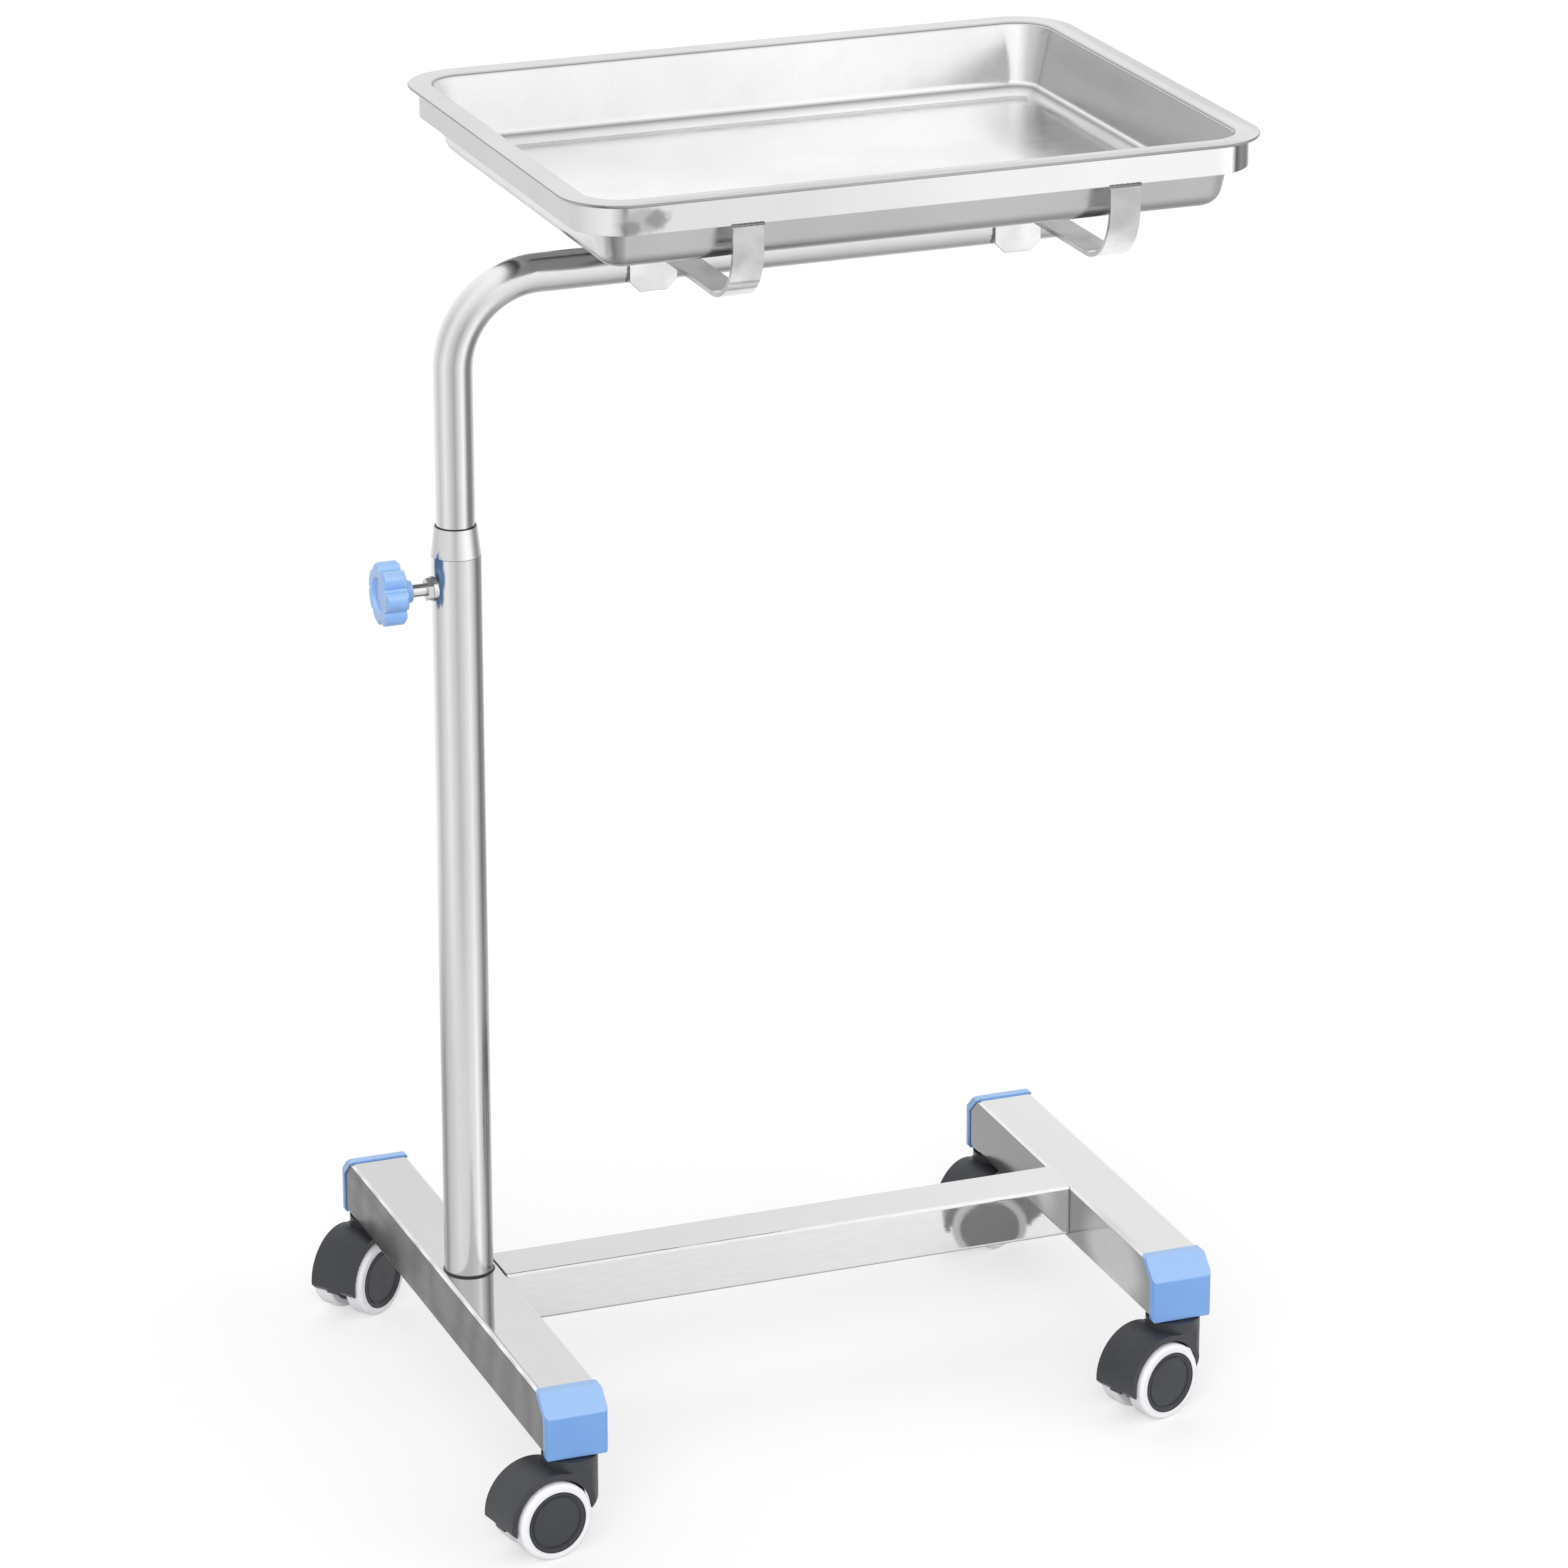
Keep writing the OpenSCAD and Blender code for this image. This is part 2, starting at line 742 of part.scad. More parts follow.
// thread in the socket, collar under the beam and bearing pin in the caster
module stem_shape() {
    color(steel_dark) {
        translate([0, 0, pin_foot_z])
            cylinder(r1 = pin_r - 1, r2 = pin_r, h = 1);
        translate([0, 0, pin_foot_z + 1])
            cylinder(r = pin_r, h = collar_foot_z - pin_foot_z - 1);
        translate([0, 0, collar_foot_z])
            cylinder(r = collar_r, h = caster_h - collar_foot_z);
        translate([0, 0, caster_h])
            cylinder(r = stem_r, h = beam_wall + socket_h - 1);
    }
}

// cuts a side outline, given in x and z, right through the cover
module side_cut(outline) {
    rotate([90, 0, 0]) linear_extrude(height = 2 * hood_half_w + 2, center = true) polygon(outline);
}

module hood_shape() {
    low = -20;
    // lower tips of the cheeks, just ahead of the wheels
    tip_x = sqrt(pow(wheel_r + wheel_gap, 2) - pow(hood_tip_z - wheel_r, 2)) - trail + 0.3;
    // reach of the rear edge behind the axle, up to where its heel is cut back
    heel_x = sqrt(pow(hood_r, 2) - pow(wheel_r - hood_back_z, 2)) - hood_heel;
    back_x = hood_r + 1;
    color(hood_grey)
        difference() {
            union() {
                // outer form: cover, round front housing and turret, less the inside
                difference() {
                    union() {
                        difference() {
                            union() {
                                at_axle() cylinder(r = hood_r, h = 2 * hood_half_w, center = true);
                                translate([-trail, -hood_half_w, wheel_r])
                                    cube([trail, 2 * hood_half_w, hood_top_z - turret_h - wheel_r]);
                            }
                            side_cut([[tip_x, low], [tip_x, hood_tip_z], [cheek_x, hood_tip_z + 6],
                                      [cheek_x, hood_top_z], [turret_r, hood_top_z], [turret_r, low]]);
                        }
                        difference() {
                            intersection() {
                                translate([-turret_back, 0, hood_tip_z])
                                    cylinder(r = turret_r, h = hood_top_z - turret_h - hood_tip_z);
                                translate([-turret_back - turret_r, -hood_half_w, 0])
                                    cube([2 * turret_r, 2 * hood_half_w, hood_top_z]);
                            }
                            side_cut([[tip_x, low], [tip_x, hood_tip_z],
                                      [turret_r, hood_tip_z + skirt_rise], [turret_r, low]]);
                        }
                        translate([-turret_back, 0, hood_top_z - turret_h])
                            cylinder(r = turret_r, h = turret_h);
                    }
                    // open underside: level behind the axle but for the heel, higher at the front
                    side_cut([[-trail - back_x, low], [-trail - back_x, hood_back_z + back_x - heel_x],
                              [-trail - heel_x, hood_back_z], [-trail, hood_back_z],
                              [-trail, hood_tip_z], [turret_r + 1, hood_tip_z], [turret_r + 1, low]]);
                    // room for the wheels, and behind the front skirt
                    at_axle() cylinder(r = wheel_r + wheel_gap, h = 2 * hood_half_w + 2, center = true);
                    translate([-turret_back, 0, low]) cylinder(r = skirt_r, h = skirt_top_z - low);
                }
                // web between the wheels, and its boss around the axle
                intersection() {
                    at_axle() cylinder(r = hood_r - 1, h = 2 * web_half_w, center = true);
                    translate([-trail - hood_r, -web_half_w, hood_back_z])
                        cube([trail + hood_r + cheek_x, 2 * web_half_w, hood_top_z - hood_back_z - 1]);
                }
                at_axle() cylinder(r = axle_r + 6, h = 2 * web_half_w, center = true);
            }
            // bearing for the stem, and hole for the axle
            translate([0, 0, pin_foot_z - 0.5]) cylinder(r = pin_r + run_gap, h = 40);
            translate([0, 0, collar_foot_z - 0.3]) cylinder(r = collar_r + 0.4, h = 10);
            at_axle() cylinder(r = axle_r + 0.03, h = 60, center = true);
        }
}

module axle_shape() {
    color(steel_dark)
        at_axle() cylinder(r = axle_r, h = 2 * (wheel_half_w - 4), center = true);
}

// s = -1 for the wheel on the near side of the web, +1 for the far side
module hub_shape(s) {
    r = hub_d / 2;
    inner = web_half_w + 0.9;
    color(hood_grey)
        translate([-trail, 0, wheel_r])
            rotate([s > 0 ? -90 : 90, 0, 0])
                difference() {
                    translate([0, 0, inner])
                        cylinder(r = r - 0.8, h = wheel_half_w - inner);
                    // shallow dish inside a raised edge ring
                    translate([0, 0, wheel_half_w - 0.8])
                        cylinder(r1 = r - 3.2, r2 = r - 2.2, h = 1);
                    // blind bore
                    translate([0, 0, inner - 1])
                        cylinder(r = axle_r + run_gap, h = wheel_half_w - 3.7 - inner + 1);
                }
}

module tyre_shape(s) {
    e = tread_edge_r;
    w0 = web_half_w + 1.2;
    w1 = wheel_half_w - tread_inset;
    r0 = hub_d / 2 - 0.78;
    color(tyre_grey)
        translate([-trail, 0, wheel_r])
            rotate([s > 0 ? -90 : 90, 0, 0])
                rotate_extrude() {
                    translate([r0, w0]) square([wheel_r - e - r0, w1 - w0]);
                    translate([wheel_r - e - eps, w0 + e]) square([e + eps, w1 - w0 - 2 * e]);
                    translate([wheel_r - e, w0 + e]) circle(r = e, $fn = 24);
                    translate([wheel_r - e, w1 - e]) circle(r = e, $fn = 24);
                }
}

module socket_mast_near() { at_mast_near() socket_shape(); }
module stem_mast_near() { at_mast_near() stem_shape(); }
module hood_mast_near() { at_mast_near() hood_shape(); }
module axle_mast_near() { at_mast_near() axle_shape(); }
module hub_mast_near_a() { at_mast_near() hub_shape(-1); }
module hub_mast_near_b() { at_mast_near() hub_shape(1); }
module tyre_mast_near_a() { at_mast_near() tyre_shape(-1); }
module tyre_mast_near_b() { at_mast_near() tyre_shape(1); }

module socket_mast_far() { at_mast_far() socket_shape(); }
module stem_mast_far() { at_mast_far() stem_shape(); }
module hood_mast_far() { at_mast_far() hood_shape(); }
module axle_mast_far() { at_mast_far() axle_shape(); }
module hub_mast_far_a() { at_mast_far() hub_shape(-1); }
module hub_mast_far_b() { at_mast_far() hub_shape(1); }
module tyre_mast_far_a() { at_mast_far() tyre_shape(-1); }
module tyre_mast_far_b() { at_mast_far() tyre_shape(1); }

module socket_toe_near() { at_toe_near() socket_shape(); }
module stem_toe_near() { at_toe_near() stem_shape(); }
module hood_toe_near() { at_toe_near() hood_shape(); }
module axle_toe_near() { at_toe_near() axle_shape(); }
module hub_toe_near_a() { at_toe_near() hub_shape(-1); }
module hub_toe_near_b() { at_toe_near() hub_shape(1); }
module tyre_toe_near_a() { at_toe_near() tyre_shape(-1); }
module tyre_toe_near_b() { at_toe_near() tyre_shape(1); }

module socket_toe_far() { at_toe_far() socket_shape(); }
module stem_toe_far() { at_toe_far() stem_shape(); }
module hood_toe_far() { at_toe_far() hood_shape(); }
module axle_toe_far() { at_toe_far() axle_shape(); }
module hub_toe_far_a() { at_toe_far() hub_shape(-1); }
module hub_toe_far_b() { at_toe_far() hub_shape(1); }
module tyre_toe_far_a() { at_toe_far() tyre_shape(-1); }
module tyre_toe_far_b() { at_toe_far() tyre_shape(1); }

// ---- list of pieces ---------------------------------------------------------

mast_beam();
toe_beam();
spine_beam();
cap_mast_near();
cap_mast_far();
cap_toe_near();
cap_toe_far();
column_tube();
guide_collar();
clamp_nut();
clamp_stud();
clamp_knob();
guide_bush();
arm_tube();
arm_plug();
saddle_inner();
saddle_outer();
strap_inner();
strap_outer();
tray_frame();
tray();
socket_mast_near();
stem_mast_near();
hood_mast_near();
axle_mast_near();
hub_mast_near_a();
hub_mast_near_b();
tyre_mast_near_a();
tyre_mast_near_b();
socket_mast_far();
stem_mast_far();
hood_mast_far();
axle_mast_far();
hub_mast_far_a();
hub_mast_far_b();
tyre_mast_far_a();
tyre_mast_far_b();
socket_toe_near();
stem_toe_near();
hood_toe_near();
axle_toe_near();
hub_toe_near_a();
hub_toe_near_b();
tyre_toe_near_a();
tyre_toe_near_b();
socket_toe_far();
stem_toe_far();
hood_toe_far();
axle_toe_far();
hub_toe_far_a();
hub_toe_far_b();
tyre_toe_far_a();
tyre_toe_far_b();
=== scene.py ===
"""Instrument cart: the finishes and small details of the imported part, one class per sub-assembly.

Every length is in metres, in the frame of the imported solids: x along the spine of the foot, y along its two
cross beams, z up. The cart stands on z = 0. Directions that a surface faces are in degrees round z, from +x.
"""

import json
import logging
import math
from dataclasses import dataclass
from enum import Enum
from functools import cache
from typing import ClassVar, Sequence

import bmesh
import bpy
from mathutils import Matrix, Vector

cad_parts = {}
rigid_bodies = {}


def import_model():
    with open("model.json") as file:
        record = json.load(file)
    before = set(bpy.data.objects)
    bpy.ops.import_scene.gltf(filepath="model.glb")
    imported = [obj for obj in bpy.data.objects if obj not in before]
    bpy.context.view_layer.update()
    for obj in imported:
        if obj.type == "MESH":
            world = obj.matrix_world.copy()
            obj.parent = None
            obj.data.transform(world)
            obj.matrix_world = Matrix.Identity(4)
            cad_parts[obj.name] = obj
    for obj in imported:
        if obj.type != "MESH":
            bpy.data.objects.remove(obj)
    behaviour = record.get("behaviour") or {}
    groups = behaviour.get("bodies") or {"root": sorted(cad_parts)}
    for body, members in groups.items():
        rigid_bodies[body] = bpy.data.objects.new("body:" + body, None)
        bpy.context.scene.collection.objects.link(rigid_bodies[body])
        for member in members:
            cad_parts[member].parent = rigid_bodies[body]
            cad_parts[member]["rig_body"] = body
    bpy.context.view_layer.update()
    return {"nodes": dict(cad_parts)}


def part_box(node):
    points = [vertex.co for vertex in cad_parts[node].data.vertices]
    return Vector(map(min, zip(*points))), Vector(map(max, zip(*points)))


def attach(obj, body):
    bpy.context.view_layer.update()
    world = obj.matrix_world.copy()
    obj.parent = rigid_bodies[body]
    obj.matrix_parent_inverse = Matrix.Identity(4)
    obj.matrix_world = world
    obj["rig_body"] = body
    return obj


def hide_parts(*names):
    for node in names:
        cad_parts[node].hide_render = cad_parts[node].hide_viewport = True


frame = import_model()

LOG = logging.getLogger("instrument_cart")
MM = 0.001
QUARTER_TURN = 0.25
MERGE_DISTANCE = 1e-6
FLAT_ANGLE = 0.4
CREASE = 34.0
SOFT_CREASE = 25.0
ROUND_CREASE = 80.0
Socket = bpy.types.NodeSocket
Node = bpy.types.Node
Tree = bpy.types.NodeTree
Material = bpy.types.Material
Piece = bpy.types.Object
Span = tuple[float, float]
Triple = tuple[float, float, float]
Colour = tuple[float, float, float, float]
Bands = tuple[Span, ...]
Inputs = dict[int | str, object]


class Side(Enum):
    """The two ends of a foot beam."""

    NEAR = "near"
    FAR = "far"


class Beam(Enum):
    """The two cross beams of the foot: one under the column, one under the tray's tip."""

    MAST = "mast"
    TOE = "toe"


def linear(level: float) -> float:
    """Turns a display level, 0 for black to 255 for white, into the reflectance that shows it."""
    shown = level / 255
    return shown / 12.92 if shown <= 0.04045 else ((shown + 0.055) / 1.055) ** 2.4


def colour(red: float, green: float, blue: float) -> Colour:
    """Turns display levels of red, green and blue into one linear colour with alpha."""
    return linear(red), linear(green), linear(blue), 1.0


def grey(level: float) -> Colour:
    """Gives the linear colour of a neutral display level."""
    return colour(level, level, level)


class Draft:
    """Adds and joins the nodes of one shader tree."""

    def __init__(self, tree: Tree) -> None:
        """Works on a material's or a group's node tree."""
        self.tree = tree

    def add(self, kind: str, inputs: Inputs | None = None, **settings: object) -> Node:
        """Adds one node.

        Args:
            kind: The node's type name, after ShaderNode.
            inputs: What feeds its inputs, by name or number.
            **settings: Properties to set on it first.

        Returns:
            The node.
        """
        node = self.tree.nodes.new(f"ShaderNode{kind}")
        for name, value in settings.items():
            setattr(node, name, value)
        self.fill(node, inputs or {})
        return node

    def fill(self, node: Node, inputs: Inputs) -> None:
        """Links a node's inputs, or sets their constants.

        Args:
            node: The node.
            inputs: Another node's output or a constant for each input, by name or number.
        """
        for name, value in inputs.items():
            if isinstance(value, Socket):
                self.tree.links.new(value, node.inputs[name])
            else:
                node.inputs[name].default_value = value

    def calc(self, operation: str, *values: object) -> Socket:
        """Gives the result of a Math node fed with sockets or numbers."""
        return self.add("Math", dict(enumerate(values)), operation=operation).outputs[0]

    def vector(self, operation: str, *values: object) -> Node:
        """Adds a Vector Math node fed with sockets or triples."""
        return self.add("VectorMath", dict(enumerate(values)), operation=operation)

    def part(self, vector: Socket, axis: str) -> Socket:
        """Reads one coordinate of a vector, X, Y or Z."""
        return self.add("SeparateXYZ", {0: vector}).outputs[axis]

    def bump(self, height: Socket, strength: float, distance: float) -> Socket:
        """Turns a height of 0 to 1, which stands out by a distance at 1, into a normal."""
        inputs = {"Strength": strength, "Distance": distance, "Height": height}
        return self.add("Bump", inputs).outputs["Normal"]

    def rise(self, value: Socket, low: float, high: float, floor: float = 0.0, top: float = 1.0) -> Socket:
        """Maps a value onto a smooth step, which leads from floor at low to top at high."""
        inputs = {"Value": value, "From Min": low, "From Max": high, "To Min": floor, "To Max": top}
        return self.add("MapRange", inputs, interpolation_type="SMOOTHSTEP").outputs["Result"]

    def mix(self, factor: object, first: object, second: object, how: str = "MIX") -> Socket:
        """Mixes two colours by a factor, 0 for the first alone."""
        inputs = {0: factor, 6: first, 7: second}
        return self.add("Mix", inputs, data_type="RGBA", blend_type=how).outputs[2]

    def place(self, vector: Socket, move: Triple = (0, 0, 0), scale: Triple = (1, 1, 1)) -> Socket:
        """Stretches coordinates along each axis, then moves them."""
        inputs = {"Vector": vector, "Location": move, "Scale": scale}
        return self.add("Mapping", inputs).outputs["Vector"]

    def noise(self, vector: Socket, scale: object, detail: float = 2.0, rough: float = 0.5) -> Socket:
        """Gives noise of about 0 to 1 at a scale, with its octaves and its roughness."""
        inputs = {"Vector": vector, "Scale": scale, "Detail": detail, "Roughness": rough}
        return self.add("TexNoise", inputs).outputs["Fac"]

    def ramp(self, share: Socket, stops: Bands) -> Socket:
        """Adds a ramp of display greys.

        Args:
            share: Where the ramp is read, 0 to 1.
            stops: Pairs of a place on the ramp and a display level, in order.

        Returns:
            The ramp's colour.
        """
        node = self.add("ValToRGB", {"Fac": share})
        elements = node.color_ramp.elements
        for element, (spot, level) in zip(elements, (stops[0], stops[-1])):
            element.position, element.color = spot, grey(level)
        for spot, level in stops[1:-1]:
            elements.new(spot).color = grey(level)
        return node.outputs["Color"]

    def bands(self, turn: Socket, bands: Bands) -> Socket:
        """Adds a ramp of display greys by the direction that a surface faces.

        Args:
            turn: The direction as a share of a full turn.
            bands: Pairs of a direction in degrees and a display level.

        Returns:
            The ramp's colour, which closes on itself.
        """
        stops = sorted(((angle % 360) / 360, level) for angle, level in bands)
        (first, low), (last, high) = stops[0], stops[-1]
        seam = high + (low - high) * (1 - last) / (1 - last + first)
        ends = ((0.0, seam),) if first > 0 else ()
        return self.ramp(turn, (*ends, *stops, (1.0, seam)))


def start_material(name: str) -> tuple[Material, Draft, Node]:
    """Starts a material.

    Args:
        name: Its name.

    Returns:
        The material, the draft of its tree, and its Principled shader.
    """
    material = bpy.data.materials.new(name)
    material.use_nodes = True
    return material, Draft(material.node_tree), material.node_tree.nodes["Principled BSDF"]


class Effects:
    """The shader node groups that several finishes share, each built once."""

    BEND_BLEND = (0.35, 1.25)
    MARKS_FINER = 5.3
    MARKS_SPAN = (0.42, 0.72)
    SCUFF_SCALE = 160.0
    SCUFF_SPAN = (0.5, 0.78)
    SHADE_SCALE = 22.0

    @staticmethod
    def _group(name: str, inputs: dict[str, float | None],
               outputs: Sequence[str]) -> tuple[Draft, dict[str, Socket], Node]:
        """Starts a group.

        Args:
            name: The group's name.
            inputs: Default of each number input by name, None for a vector input.
            outputs: Names of the float outputs.

        Returns:
            Its draft, its inputs by name, and its output node.
        """
        tree = bpy.data.node_groups.new(name, "ShaderNodeTree")
        for label, default in inputs.items():
            kind = "NodeSocketVector" if default is None else "NodeSocketFloat"
            socket = tree.interface.new_socket(name=label, in_out="INPUT", socket_type=kind)
            if default is not None:
                socket.default_value = default
        for label in outputs:
            tree.interface.new_socket(name=label, in_out="OUTPUT", socket_type="NodeSocketFloat")
        draft = Draft(tree)
        entry = tree.nodes.new("NodeGroupInput")
        return draft, {s.name: s for s in entry.outputs if s.name}, tree.nodes.new("NodeGroupOutput")

    @staticmethod
    @cache
    def facing() -> Tree:
        """Builds the group that reads which way a surface faces.

        Returns:
            A group with Turn, the facing as a share of a turn, Inward, 1 where a wall faces the centre, and Rise.
        """
        draft, source, out = Effects._group("facing", {"Vector": None, "Normal": None}, ("Turn", "Inward", "Rise"))
        flat = draft.vector("MULTIPLY", source["Normal"], (1, 1, 0)).outputs["Vector"]
        across, along = draft.part(source["Normal"], "X"), draft.part(source["Normal"], "Y")
        turn = draft.calc("FRACT", draft.calc("DIVIDE", draft.calc("ARCTAN2", along, across), math.tau))
        toward = draft.vector("DOT_PRODUCT", flat, source["Vector"]).outputs["Value"]
        inward = draft.calc("LESS_THAN", toward, 0.0)
        draft.fill(out, {"Turn": turn, "Inward": inward, "Rise": draft.part(source["Normal"], "Z")})
        return draft.tree

    @staticmethod
    @cache
    def tube_facing() -> Tree:
        """Builds the group that reads where a point lies round a tube that rises and then bends level.

        Returns:
            A group with Turn, the place round the section as a share of a turn, and Level, 1 on the level leg.
        """
        draft, source, out = Effects._group("tube_facing", {"Vector": None, "Bend Radius": 0.05}, ("Turn", "Level"))
        left = draft.calc("MAXIMUM", draft.calc("MULTIPLY", draft.part(source["Vector"], "X"), -1.0), 0.0)
        above = draft.calc("MAXIMUM", draft.part(source["Vector"], "Z"), 0.0)
        squares = (draft.calc("MULTIPLY", side, side) for side in (left, above))
        outward = draft.calc("SUBTRACT", draft.calc("SQRT", draft.calc("ADD", *squares)), source["Bend Radius"])
        angle = draft.calc("DIVIDE", draft.calc("ARCTAN2", outward, draft.part(source["Vector"], "Y")), math.tau)
        level = draft.rise(draft.calc("ARCTAN2", above, left), *Effects.BEND_BLEND)
        draft.fill(out, {"Turn": draft.calc("FRACT", draft.calc("ADD", angle, QUARTER_TURN)), "Level": level})
        return draft.tree

    @staticmethod
    @cache
    def polish() -> Tree:
        """Builds the group of polishing lines, hand marks and soft tone drift of worked steel.

        Returns:
            A group with Lines and Marks, for height and roughness, and Drift, for tone.
        """
        draft, source, out = Effects._group("polish", {"Vector": None, "Lines Scale": 900.0, "Drift Scale": 9.0},
                                            ("Lines", "Marks", "Drift"))
        finer = draft.calc("MULTIPLY", source["Drift Scale"], Effects.MARKS_FINER)
        marks = draft.noise(source["Vector"], finer, 4.0, 0.6)
        draft.fill(out, {"Lines": draft.noise(source["Vector"], source["Lines Scale"], 3.0, 0.7),
                         "Drift": draft.noise(source["Vector"], source["Drift Scale"], 2.0, 0.45),
                         "Marks": draft.rise(marks, *Effects.MARKS_SPAN)})
        return draft.tree

    @staticmethod
    @cache
    def moulding() -> Tree:
        """Builds the group of a moulded plastic's fine texture and its slow change of shade.

        Returns:
            A group with Texture, for height, Scuff, for roughness, and Shade, for colour.
        """
        draft, source, out = Effects._group("moulding", {"Vector": None, "Texture Scale": 2500.0},
                                            ("Texture", "Scuff", "Shade"))
        scuff = draft.noise(source["Vector"], Effects.SCUFF_SCALE, 4.0, 0.65)
        draft.fill(out, {"Texture": draft.noise(source["Vector"], source["Texture Scale"], 2.0, 0.6),
                         "Scuff": draft.rise(scuff, *Effects.SCUFF_SPAN),
                         "Shade": draft.noise(source["Vector"], Effects.SHADE_SCALE, 3.0, 0.5)})
        return draft.tree


@dataclass(frozen=True)
class Spot:
    """A soft-edged patch of another tone at one place of a piece."""

    SOFT_SPAN: ClassVar[Span] = (0.45, 1.0)
    RAGGED_SCALE: ClassVar[float] = 110.0

    place: Triple
    reach: Triple
    level: float
    strength: float = 1.0
    ragged: float = 0.0

    def lay(self, draft: Draft, position: Socket, shade: Socket) -> Socket:
        """Lays the patch over a tone.

        Args:
            draft: The material's tree.
            position: Object coordinates.
            shade: The tone below.

        Returns:
            The tone with the patch.
        """
        scale = tuple(1 / r for r in self.reach)
        near = draft.place(position, tuple(-p * k for p, k in zip(self.place, scale)), scale)
        away = draft.vector("LENGTH", near).outputs["Value"]
        if self.ragged:
            wander = draft.noise(position, self.RAGGED_SCALE, 3.0)
            away = draft.calc("ADD", away, draft.calc("MULTIPLY_ADD", wander, self.ragged, -self.ragged / 2))
        return draft.mix(draft.rise(away, *self.SOFT_SPAN, self.strength, 0.0), shade, grey(self.level))


@dataclass(frozen=True)
class Wash:
    """A smooth change of tone from one end of a piece to the other, along one axis: painted light and shade."""

    axis: str
    start: float
    end: float
    first: float
    last: float

    def lay(self, draft: Draft, position: Socket, shade: Socket) -> Socket:
        """Lays the wash over a tone, read at object coordinates."""
        along = draft.rise(draft.part(position, self.axis), self.start, self.end, self.first, self.last)
        return draft.mix(1.0, shade, along, "MULTIPLY")


@dataclass(frozen=True)
class Ripple:
    """Painted reflection ripples: slow waves in the tone of one upright face, as a thin polished wall shows in its
    reflections.
    """

    edge: float
    depth: float = 0.34
    scale: float = 8.0
    lift: float = 0.3

    def lay(self, draft: Draft, position: Socket, shade: Socket) -> Socket:
        """Lays the painted reflection waves over a tone, left of the edge only.

        Args:
            draft: The material's tree.
            position: Object coordinates.
            shade: The tone below.

        Returns:
            The rippled tone.
        """
        inputs = {"Vector": position, "Scale": self.scale, "Distortion": 10.0, "Detail": 2.0, "Detail Scale": 1.2}
        wave = draft.add("TexWave", inputs, wave_type="BANDS", bands_direction="Y")
        here = draft.calc("LESS_THAN", draft.part(position, "X"), self.edge)
        dip = draft.calc("MULTIPLY", here, draft.calc("MULTIPLY", wave.outputs["Fac"], self.depth))
        return draft.mix(1.0, shade, draft.calc("SUBTRACT", 1.0 + self.depth * self.lift, dip), "MULTIPLY")


